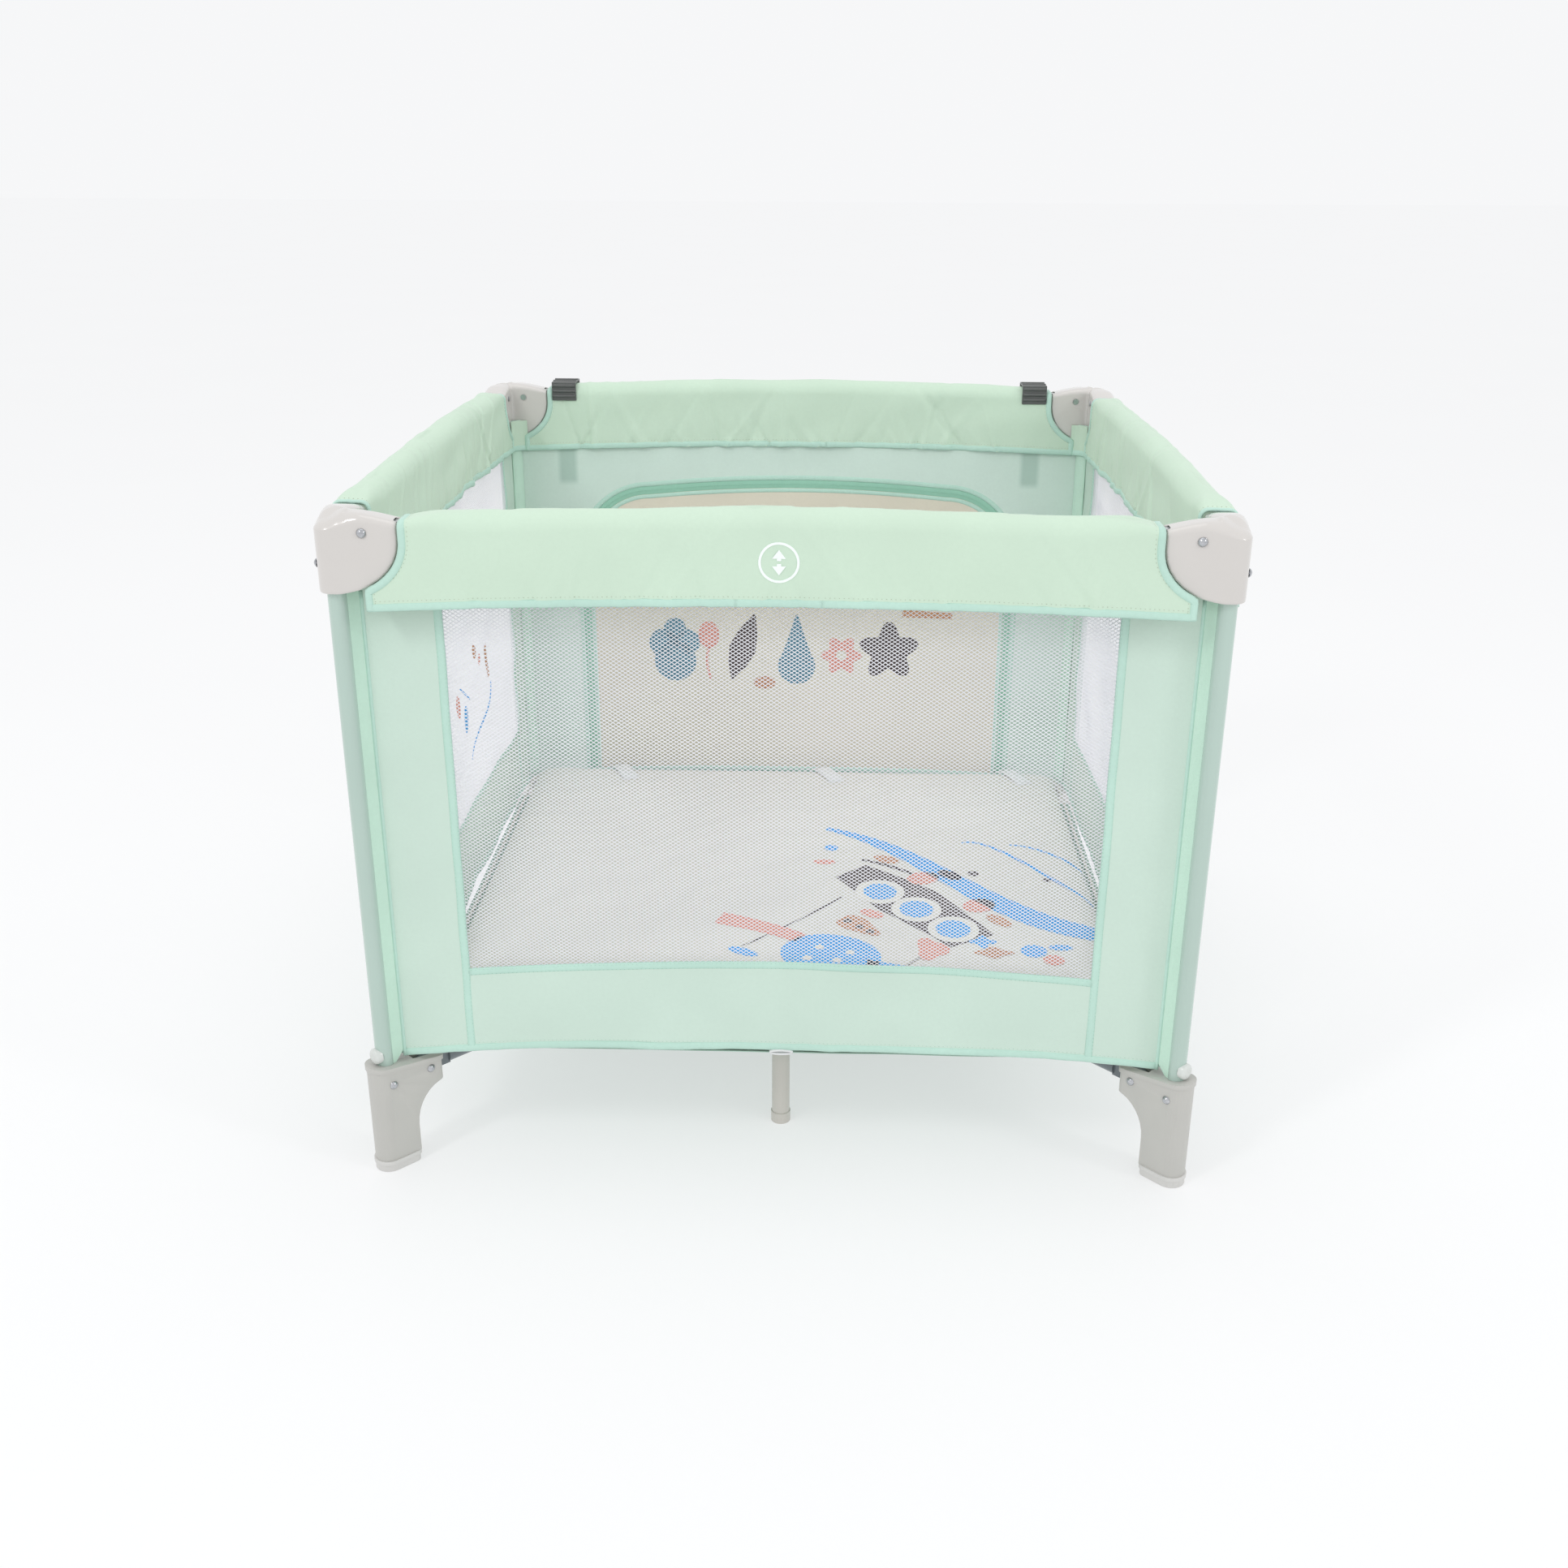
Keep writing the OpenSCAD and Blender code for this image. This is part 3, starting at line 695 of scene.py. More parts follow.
def wall_trim(side):
    """Bindings, piping and the rows of stitches on a wall."""
    out = outwards(side)
    tape, seam = Shape(), Shape()
    bottom = np.linspace(-WALL_END, WALL_END, 150)
    tape.sweep(wall_point(side, bottom, hem_z(bottom) + 0.0042), out, flat_section(TAPE, 0.0015))
    seam.stitches(wall_point(side, bottom, hem_z(bottom) + 0.0104), out, 0.0008)
    for sign in (-1, 1):
        u, z = edge_run(sign, WALL_END - 0.0005)
        tape.sweep(wall_point(side, u, z), out, round_section(0.0022))
        if side == BACK:
            continue
        u, z = edge_run(sign, WINDOW + TAPE / 2 - 0.002)
        tape.sweep(wall_point(side, u, z), out, flat_section(TAPE, 0.0011))
        for inset in (0.0035, -0.0035):
            seam.stitches(wall_point(side, u + inset, z), out, 0.0017)
    if side != BACK:
        u = np.linspace(-WINDOW, WINDOW, 110)
        tape.sweep(wall_point(side, u, window_z(u) - TAPE / 2 + 0.002), out, flat_section(TAPE, 0.0011))
        for inset in (0.0035 - TAPE, -0.0005):
            seam.stitches(wall_point(side, u, window_z(u) + inset), out, 0.0017)
    name = f"wall_{SIDES[side]}_"
    made = [tape.build(name + "tape", M["tape"]), seam.build(name + "stitches", M["thread"], smooth=False)]
    for obj in made:
        ride_leg(obj, side)
    return made


NET_PITCH = (0.0062, 0.0042)  # one hole of the netting, along and up
YARN = (0.00090, 0.0005)  # width and thickness of its strands


def net_strands(half, bottom, top):
    """Straight runs of yarn (u, z, u, z) of both slants, inside a window with an arched bottom edge."""
    pitch_u, pitch_z = NET_PITCH
    slope = pitch_u / pitch_z
    reach = half + (top - bottom(0.0)) * slope
    for slant in (-1, 1):
        for i in range(-int(reach / pitch_u) - 8, int(reach / pitch_u) + 9):
            z = np.arange(top, bottom(half) - 0.002, -0.002)
            u = i * pitch_u + slant * (z - top) * slope
            inside = (np.abs(u) <= half) & (z >= bottom(np.clip(u, -half, half)))
            if inside.sum() > 3:
                z, u = z[inside], u[inside]
                yield slant, u[0], z[0], u[-1], z[-1]


def netting(side):
    """Diamond netting of two slants of yarn, as real strands."""
    net = Shape()
    width, thick = YARN
    section = [(-width / 2, 0), (0, thick / 2), (width / 2, 0), (0, -thick / 2)]
    out = outwards(side)
    for slant, u0, z0, u1, z1 in net_strands(WINDOW + 0.001, lambda u: window_z(u) - 0.001, WINDOW_TOP):
        steps = max(2, int(math.hypot(u1 - u0, z1 - z0) / 0.030) + 1)
        u, z = lines((u0, z0), (u1, z1), steps)
        net.sweep(wall_point(side, u, z, slant * thick * 0.22), out, section)
    obj = net.build(f"wall_{SIDES[side]}_net", M["net"])
    ride_leg(obj, side)
    return obj


def door_edge(inset):
    """(u, z) along the door's outline, in by an inset, from its lower left to its lower right."""
    half = DOOR - inset
    corner = DOOR_CORNER - inset
    spring = DOOR_TOP - DOOR_ARCH - DOOR_CORNER
    turns = np.linspace(0, math.pi / 2, 24)
    flat = half - corner
    crown = np.linspace(-flat, flat, 50)[1:-1]
    rise = spring + corner
    left_side = [(-half, z) for z in np.linspace(DOOR_LOW, spring, 30)[:-1]]
    left_turn = [(-flat - corner * math.cos(a), spring + corner * math.sin(a)) for a in turns]
    middle = [(u, rise + DOOR_ARCH * (1 - (u / flat) ** 2)) for u in crown]
    half_line = left_side + left_turn
    return np.array(half_line + middle + [(-u, z) for u, z in half_line[::-1]])


def on_back(points):
    """Points (u, z) on the back wall's cloth."""
    return wall_point(BACK, points[..., 0], points[..., 1])


def back_wall():
    """The back wall: mint cloth round an arched door, whose zip runs between two bindings."""
    inner = door_edge(DOOR_EDGE[1] / 2)
    outer = []
    for u, z in inner:
        near, far = 1.0, 2.5
        for _ in range(30):
            k = (near + far) / 2
            inside = abs(u) * k < WALL_END and DOOR_LOW + (z - DOOR_LOW) * k < wall_top(u * k)
            near, far = (k, far) if inside else (near, k)
        outer.append((u * near, DOOR_LOW + (z - DOOR_LOW) * near))
    outer = np.array(outer)
    share = np.linspace(0, 1, 26)[:, None, None]
    spread = inner[None] + share * (outer - inner)[None]
    cloth = Shape().grid(on_back(spread))
    u = np.linspace(-WALL_END, WALL_END, 140)
    strip = np.linspace(0, 1, 3)[:, None]
    cloth.grid(wall_point(BACK, u[None] + 0 * strip, hem_z(u) * (1 - strip) + (DOOR_LOW + 0.008) * strip))
    wall = thickened(cloth.build("wall_back_cloth", M["back"]))
    ride_leg(wall, BACK)
    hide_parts("wall_back")

    edge = door_edge(DOOR_EDGE[2])
    rows = np.linspace(0, 1, 40)[:, None, None]
    middle = np.stack([edge[:, 0] * 0.98, np.full(len(edge), DOOR_LOW)], -1)
    spread = edge[None] * (1 - rows) + middle[None] * rows
    panel = Shape().grid(on_back(spread))
    panel = thickened(merged(panel.build("door_cloth", M["door"]), 0.00005))
    ride_leg(panel, BACK)
    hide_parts("door_panel")

    out = outwards(BACK)
    bands = []
    for name, a, b, key, rise in (("outer_binding", DOOR_EDGE[0], DOOR_EDGE[1], "tape", 0.0014),
                                  ("zip_band", DOOR_EDGE[1] - 0.001, DOOR_EDGE[2] + 0.001, "zip_band", 0.0007),
                                  ("inner_binding", DOOR_EDGE[2], DOOR_EDGE[3], "tape", 0.0014)):
        line = door_edge((a + b) / 2)
        band = Shape().sweep(on_back(line), out, flat_section(b - a, rise))
        band = band.build("door_" + name, M[key])
        ride_leg(band, BACK)
        bands.append(band)
    teeth, thread = Shape(), Shape()
    line = door_edge((DOOR_EDGE[1] + DOOR_EDGE[2]) / 2)
    teeth.stitches(on_back(line), out, 0.0018, length=0.0016, gap=0.0010, width=0.0046)
    for inset in (0.0025, DOOR_EDGE[1] - 0.0025, DOOR_EDGE[2] + 0.002, DOOR_EDGE[3] - 0.002):
        line = door_edge(inset)
        thread.stitches(on_back(line), out, 0.0020)
    for name, shape, key in (("door_zip_teeth", teeth, "zip_band"), ("door_stitches", thread, "thread")):
        obj = shape.build(name, M[key], smooth=False)
        ride_leg(obj, BACK)
        bands.append(obj)
    return wall, panel, bands


# ---- printed shapes ----


def disc(centre, radius, squeeze=1.0, turn=0.0, wobble=0.0, lobes=3, inner=0.0):
    """Rows of (a, b) points for a round or lobed shape, a ring when inner is over 0."""
    angle = np.linspace(0, 2 * math.pi, 49)
    rings = []
    for share in np.linspace(inner, 1, 6):
        r = radius * share * (1 + wobble * share * np.cos(lobes * angle))
        x, y = r * np.cos(angle), r * squeeze * np.sin(angle)
        rings.append(np.stack([centre[0] + x * math.cos(turn) - y * math.sin(turn),
                               centre[1] + x * math.sin(turn) + y * math.cos(turn)], -1))
    return np.array(rings)


def strip(points, widths, steps=60):
    """Rows of (a, b) points for a curved band through a few points, with a width at each."""
    points, given = np.array(points, float), np.linspace(0, 1, len(points))
    t = np.linspace(0, 1, steps)
    fit = np.stack([np.polyval(np.polyfit(given, points[:, k], min(3, len(points) - 1)), t) for k in (0, 1)], -1)
    width = np.interp(t, np.linspace(0, 1, len(widths)), widths)
    along = np.gradient(fit, axis=0)
    across = np.stack([-along[:, 1], along[:, 0]], -1) / np.linalg.norm(along, axis=1, keepdims=True)
    return np.array([fit + across * (width * s / 2)[:, None] for s in np.linspace(-1, 1, 5)])


def printed(shapes, name, key, place):
    """Ink on cloth: shapes of (a, b) points put on a surface by place."""
    ink = Shape()
    for rows in shapes:
        ink.grid(place(rows[..., 0], rows[..., 1]))
    return thickened(ink.build(name, M[key]), 0.0002)


def door_print():
    """Simple coloured shapes across the upper part of the door, in place of its lettering."""
    groups = {
        "teal": [disc((0.198, 0.348), 0.034), disc((0.216, 0.378), 0.024), disc((0.178, 0.380), 0.021),
                 disc((0.198, 0.402), 0.018),
                 strip([(0.0, 0.428), (0.0, 0.385), (0.0, 0.345)], [0.003, 0.030, 0.060]),
                 disc((0.0, 0.341), 0.0305)],
        "coral": [disc((0.143, 0.392), 0.017, 1.35),
                  strip([(0.143, 0.372), (0.146, 0.345), (0.140, 0.318)], [0.004, 0.004]),
                  disc((-0.073, 0.360), 0.028, wobble=0.2, lobes=6, inner=0.3)],
        "dark": [strip([(0.106, 0.318), (0.088, 0.370), (0.068, 0.428)], [0.003, 0.030, 0.044, 0.030, 0.003]),
                 disc((-0.150, 0.368), 0.040, wobble=0.25, lobes=5, turn=0.3)],
        "brown": [disc((0.052, 0.312), 0.018, 0.6), strip([(-0.170, 0.432), (-0.250, 0.428)], [0.012, 0.010])],
    }
    for ink, shapes in groups.items():
        for face, lift in (("inside", -0.0006), ("outside", 0.0006)):
            name = f"door_print_{ink}_{face}"
            obj = printed(shapes, name, "ink_" + ink, lambda u, z: wall_point(BACK, u, z, lift))
            ride_leg(obj, BACK)


def wall_print():
    """Small printed strokes on the left wall's netting."""
    strokes = {
        "blue": [strip([(-0.17, 0.40), (-0.14, 0.375), (-0.08, 0.36), (-0.03, 0.33)], [0.006, 0.004, 0.005, 0.003]),
                 disc((0.0, 0.40), 0.012, 1.6), strip([(0.02, 0.45), (-0.03, 0.42)], [0.003, 0.003])],
        "brown": [strip([(-0.15, 0.46), (-0.16, 0.41)], [0.018, 0.010]), disc((-0.075, 0.474), 0.010)],
        "coral": [disc((0.035, 0.43), 0.009, 1.8), disc((-0.10, 0.455), 0.008)],
    }
    for ink, shapes in strokes.items():
        obj = printed(shapes, "wall_print_" + ink, "ink_" + ink, lambda u, z: wall_point(LEFT, u, z, -0.0008))
        ride_leg(obj, LEFT)


# ---- rail covers ----

COVER_RIPPLES = [ripples(80 + side, 0.05, 0.26, stretch=1.8) for side in range(4)]
HEM_CREASES = [creases(90 + side, 60, 0.43, 0.020, 0.003, 0.009) for side in range(4)]
LONG_CREASES = [creases(100 + side, 24, 0.34, 0.07, 0.004, 0.009) for side in range(4)]


def cover_top(u):
    share = np.abs(u) / (CORNER - COVER_END)
    return COVER_TOP - COVER_ARCH * share ** 2 - COVER_DIP * np.clip((share - 0.88) / 0.12, 0, 1) ** 2


def cover_hem(u):
    return COVER_HEM + COVER_ARCH * (1 - (np.asarray(u) / (CORNER - COVER_TOE)) ** 2)


def cover_end(z):
    """Half the length of a cover at a height: level with the cap's wing on top, and cut round the cap below."""
    down = np.clip((CAP_SPRING - z) / (CAP_DROP + COVER_END - CAP_WING), 0, 1)
    return np.minimum(CORNER - COVER_END * np.sqrt(1 - down ** 2), CORNER - COVER_TOE)


def cover_girth(u):
    """Height of a cover's straight sides, radius of its upper edges and length round it, at a place along it."""
    squarer = np.clip((np.abs(u) - 0.31) / 0.07, 0, 1)
    radius = COVER_R + (COVER_R_END - COVER_R) * squarer ** 2 * (3 - 2 * squarer)
    leg = cover_top(u) - radius - cover_hem(u)
    return leg, radius, 2 * leg + math.pi * radius + 2 * (COVER_R - radius)


def cover_section(u, s):
    """Outward distance, height and normal at share s round a cover, from its outer hem to its inner hem."""
    leg, radius, total = cover_girth(u)
    run, quarter, flat = s * total, math.pi / 2, 2 * (COVER_R - radius)
    across = np.clip(run - leg - quarter * radius, 0, flat)
    angle = np.clip((run - leg) / radius, 0, quarter) + np.clip((run - leg - flat) / radius - quarter, 0, quarter)
    d = CORNER + flat / 2 - across + radius * np.cos(angle)
    side_z = cover_hem(u) + np.minimum(run, total - run)
    z = np.where((run < leg) | (run > total - leg), side_z, cover_top(u) - radius * (1 - np.sin(angle)))
    return d, z, np.cos(angle), np.sin(angle)


def cover_point(side, u, s, lift=0.0):
    """Point and outward normal of a side's rail cover in the frame."""
    u, s = np.broadcast_arrays(np.asarray(u, float), np.asarray(s, float))
    d, z, nd, nz = cover_section(u, s)
    away = z - cover_hem(u)
    inner = s > 0.5
    swell = 0.0008 * np.sin(np.clip(away / 0.09, 0, 1) * math.pi)
    wave = 0.0008 * COVER_RIPPLES[side](u, z + 0.4 * inner)
    wave = wave + 0.0020 * HEM_CREASES[side](u + 0.09 * inner, away)
    wave = wave + 0.0026 * LONG_CREASES[side](u - 0.05 * inner, away)
    calm = np.clip((CORNER - COVER_TOE - np.abs(u)) / 0.12, 0.15, 1)
    out = np.clip(swell + wave * calm * np.where(inner, 1.7, 1.0), -0.0030, 0.0038) + lift
    point = np.stack([u, d + nd * out, z + nz * out], -1)
    return turned(side, point), turned(side, np.stack([0 * nd, nd, nz], -1))


ROUND = np.linspace(0, 1, 96)  # shares round a cover where its rows lie
BINDING = flat_section(0.009, 0.0013)


def cover_reach(s):
    """Half the length of a cover at share s round it."""
    reach = CORNER - COVER_TOE
    for _ in range(3):
        reach = float(cover_end(cover_section(reach, s)[1]))
    return reach


def cover_grid(side, start, end, columns):
    """Rows round a cover between two ends; an end given as None is the cover's own."""
    rows = []
    for s in ROUND:
        reach = cover_reach(s)
        a = -reach if start is None else start
        b = reach if end is None else end
        rows.append(cover_point(side, np.linspace(a, b, columns), s)[0])
    return np.array(rows)


def cover_rim(side, sign, inset, lift=0.0):
    """Points and normals along a cover's end, from hem to hem."""
    points, normals = [], []
    for s in ROUND:
        point, normal = cover_point(side, sign * (cover_reach(s) - inset), s, lift)
        points.append(point)
        normals.append(normal)
    return np.array(points), np.array(normals)


def hem_line(side, start, end, inset, outer, count):
    """Points and normals along a cover's hem, a little above its edge."""
    u = np.linspace(start, end, count)
    s = inset / cover_girth(u)[2]
    return cover_point(side, u, s if outer else 1 - s)


def with_half(obj, side, half):
    """Half a cover goes with its half rail."""
    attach(obj, "rail_" + RAIL_HALVES[side][half])
    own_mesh(obj)


def cover_plugs(side):
    """The padding inside a cover, seen at its two ends round the rail."""
    plugs = []
    for half, sign in enumerate((-1, 1)):
        rim = cover_rim(side, sign, 0.0022, -0.0012)[0]
        across = np.linspace(0, 1, 9)[:, None, None]
        outer, inner = rim[:len(ROUND) // 2], rim[::-1][:len(ROUND) // 2]
        rows = outer[None] * (1 - across) + inner[None] * across
        plug = Shape().grid(rows).build(f"cover_{SIDES[side]}_padding_{half + 1}", M["cover"])
        with_half(thickened(plug), side, half)
        plugs.append(plug)
    return plugs


def cover_part(side, tag, ends, columns, hem, count, sign=0):
    """One part of a cover: its cloth, and its bindings and stitches along both hems and at the end next to a cap."""
    name = "cover_" + SIDES[side]
    tape, seam = Shape(), Shape()
    for outer in (True, False):
        tape.sweep(*hem_line(side, *hem, 0.0035, outer, count), BINDING)
        seam.stitches(*hem_line(side, *hem, 0.0100, outer, count), 0.0009)
    if sign:
        tape.sweep(*cover_rim(side, sign, 0.0030), flat_section(0.0085, 0.0016))
        seam.stitches(*cover_rim(side, sign, 0.0088), 0.0009)
    cloth = Shape().grid(cover_grid(side, *ends, columns)).build(f"{name}_cloth_{tag}", M["cover"])
    return [thickened(cloth), tape.build(f"{name}_tape_{tag}", M["tape"]),
            seam.build(f"{name}_stitches_{tag}", M["thread_warm"], smooth=False)]


def cover(side):
    """A rail cover: one continuous sleeve, open below, in three parts that meet at the centre lock."""
    parts = []
    for half, (sign, ends) in enumerate(((-1, (None, -PATCH)), (1, (PATCH, None)))):
        hem = (PATCH * sign, (CORNER - COVER_TOE) * sign)
        parts.append(cover_part(side, half + 1, ends, 190, hem, 90, sign))
        for obj in parts[-1]:
            with_half(obj, side, half)
    parts.append(cover_part(side, "middle", (-PATCH, PATCH), 40, (-PATCH, PATCH), 24) + [emblem(side)])
    for obj in parts[-1]:
        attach(obj, "lock_" + SIDES[side])
    for cloth, *trims in parts:
        for obj in trims:
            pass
    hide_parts("cover_" + SIDES[side])
    return parts


def emblem(side):
    """The mark over the lock's button: a ring with an arrow up and an arrow down."""
    middle_z = RAIL_Z - 0.025
    head = [[(-0.007, 0.004), (0, 0.013), (0.007, 0.004)], [(-0.0069, 0.0039), (0, 0.0039), (0.0069, 0.0039)]]
    stem = [[(-0.0022, 0.0039), (0.0022, 0.0039)], [(-0.0022, 0.0015), (0.0022, 0.0015)]]

    def on_cover(u, z):
        return cover_point(side, u, (z - cover_hem(u)) / cover_girth(u)[2], 0.0007)[0]

    mark = Shape().grid(on_cover(*np.moveaxis(disc((0, middle_z), 0.021, inner=0.88), -1, 0)))
    for sign in (-1, 1):
        for rows in (head, stem):
            u, z = np.moveaxis(np.array(rows), -1, 0)
            mark.grid(on_cover(u, middle_z + sign * z))
    return thickened(mark.build("emblem_" + SIDES[side], M["ink_white"]), 0.0006)


# ---- corners, straps and small parts ----


def corner_gussets(n):
    """Cloth that closes a corner: flaps from the walls to the tube, and a strip inside under the cap."""
    flap, strip_low, strip_high = Shape(), 0.132, 0.735
    z = np.linspace(strip_low, CAP_LOW + 0.006, 40)
    for which, sign in ((n, -1), ((n - 1) % 4, 1)):
        rows = []
        for share in np.linspace(0, 1, 5):
            u = WALL_END + 0.0005 + share * (CORNER - TUBE_R * 0.97 - WALL_END)
            d = WALL_D + 0.0004 + (share ** 1.5) * (CORNER - WALL_D)
            lower = np.where(z < 0.16, 0.160 - (0.160 - z) * (0.4 + 0.6 * share), z)
            rows.append(turned(which, np.stack([sign * np.full_like(z, u), np.full_like(z, d), lower], -1)))
        flap.grid(np.array(rows))
    flaps = thickened(flap.build("corner_flap_" + CORNERS[n], M["gusset"]))
    rows = []
    start, reach = CORNER - COVER_TOE - 0.004, CORNER - 0.0190
    for bend in np.linspace(0, 1, 9) * math.pi / 2:
        u = start + (reach - start) * math.sin(bend)
        d = reach - (reach - start) * (1 - math.cos(bend))
        rows.append(turned(n, [(-u, d, h) for h in np.linspace(COVER_HEM + 0.001, strip_high, 8)]))
    rows = np.array(rows)
    inner = thickened(Shape().grid(rows).build("corner_inner_" + CORNERS[n], M["cover"]))
    corner = turned(n, (-WALL_END + 0.0025, WALL_END - 0.0025, 0))
    path = [corner + (0, 0, h) for h in np.linspace(0.146, strip_high, 40)]
    inwards = turned(n, (1, -1, 0)) / math.sqrt(2)
    seam = Shape().sweep(path, inwards, flat_section(0.020, 0.0016)).build("corner_seam_" + CORNERS[n], M["gusset"])
    out = (rows[:, 0] - turned(n, (-CORNER, CORNER, 0))) * (1, 1, 0)
    out /= np.linalg.norm(out, axis=1, keepdims=True)
    tape = Shape().sweep(rows[:, 0] + (0, 0, 0.003), out, BINDING).build("corner_tape_" + CORNERS[n], M["tape"])
    for obj, slot in ((flaps, "mint_fabric"), (inner, "mint_fabric"),
                      (seam, "binding_fabric"), (tape, "binding_fabric")):
        carry(obj, "leg_" + CORNERS[n], slot)


def clip_strap(end):
    """The webbing that hangs from a clip, outside the back wall."""
    x = STRAP_X if end == "r" else -STRAP_X
    y, top = high("clip_back_" + end).y + 0.0008, low("clip_back_" + end).z + 0.012
    heights = np.linspace(STRAP_LOW, top, 24)
    path = np.stack([np.full_like(heights, x), y + 0.0006 * np.sin((heights - STRAP_LOW) * 40), heights], -1)
    half, thick = STRAP_W / 2, 0.0009
    section = [(-half, 0), (-half + 0.001, thick), (half - 0.001, thick), (half, 0),
               (half - 0.001, -thick), (-half + 0.001, -thick)]
    strap = Shape().sweep(path, (0, 1, 0), section)
    strap.sweep(path[:6] + np.array((0, 0.0012, 0)), (0, 1, 0), section)
    obj = strap.build("clip_strap_" + end, M["webbing"])
    carry(obj, "rail_back_" + end, "strap_webbing")
    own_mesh(obj)


def hem_loop():
    """A small white loop sewn into the middle of the front hem."""
    turns = np.linspace(0, 2 * math.pi, 30, endpoint=False)
    middle = float(hem_z(0.0)) - 0.002
    path = turned(FRONT, [(0.003 + 0.013 * math.cos(a), WALL_D + 0.001, middle + 0.0024 * math.sin(a))
                          for a in turns])
    band = [(-0.0008, -0.004), (0.0008, -0.004), (0.0008, 0.002), (-0.0008, 0.002)]
    loop = Shape().sweep(path, outwards(FRONT), band, closed=True)
    ride_leg(loop.build("hem_loop", M["label"]), FRONT)


# ---- floor cloth and mattress ----


def base_quarter(n):
    """A quarter of the cloth under the mattress, which goes with its strut."""
    reach = high("base_sheet").x - 0.002
    z = (low("base_sheet").z + high("base_sheet").z) / 2
    limit = 0.552  # how far the cloth reaches along a diagonal
    sag = ripples(120 + n, 0.1, 0.4)
    rows = []
    for a in np.linspace(0, 1, 26):
        row = []
        for b in np.linspace(0, 1, 26):
            x, y = -a * reach, -b * reach
            along = (-x - y) / math.sqrt(2)
            pull = min(1, limit / along) if along > 0 else 1
            edge = max(-x, -y) * pull
            rise = min(1, max(0, (edge - 0.405) / 0.038))
            row.append((x * pull, y * pull, z + 0.013 * rise ** 2 + 0.0004 * float(sag(x, y))))
        rows.append(row)
    points = turned(n, np.array(rows) * (1, -1, 1))
    obj = thickened(Shape().grid(points).build("base_cloth_" + CORNERS[n], M["base"]))
    carry(obj, "strut_" + CORNERS[n], "base_fabric")
    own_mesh(obj)
    return obj, reach


def swollen(node, start, voxel, pressure, most, name, key):
    """A padded form: the CAD solid, shrunk a little, remeshed and swelled by cloth simulation."""
    obj = link(bpy.data.objects.new(name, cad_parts[node].data.copy()))
    lo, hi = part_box(node)
    middle, size = (lo + hi) / 2, hi - lo
    for v in obj.data.vertices:
        for k in range(3):
            v.co[k] = middle[k] + (v.co[k] - middle[k]) * (1 - 2 * start[k] / size[k])
    remesh = obj.modifiers.new("remesh", "REMESH")
    remesh.mode = "VOXEL"
    remesh.voxel_size = voxel
    applied(obj)
    rest = np.array([v.co for v in obj.data.vertices])
    cloth = obj.modifiers.new("cloth", "CLOTH").settings
    for setting, value in (("quality", 4), ("mass", 0.4), ("tension_stiffness", 18),
                            ("compression_stiffness", 18), ("bending_stiffness", 1.2),
                            ("use_pressure", True), ("uniform_pressure_force", pressure)):
        setattr(cloth, setting, value)
    cloth.effector_weights.gravity = 0
    for number in range(1, 21):
        bpy.context.scene.frame_set(number)
    applied(obj)
    bpy.context.scene.frame_set(1)
    moved = np.array([v.co for v in obj.data.vertices]) - rest
    far = np.linalg.norm(moved, axis=1, keepdims=True)
    moved *= np.minimum(1, most / np.maximum(far, 1e-9))
    points = rest + moved
    points[:, 2] = np.maximum(points[:, 2], lo.z + 0.0005)
    obj.data.vertices.foreach_set("co", points.ravel())
    return dressed(obj, key)


def shifted(line, dx, dy):
    return [(x + dx, y + dy) for x, y in line]


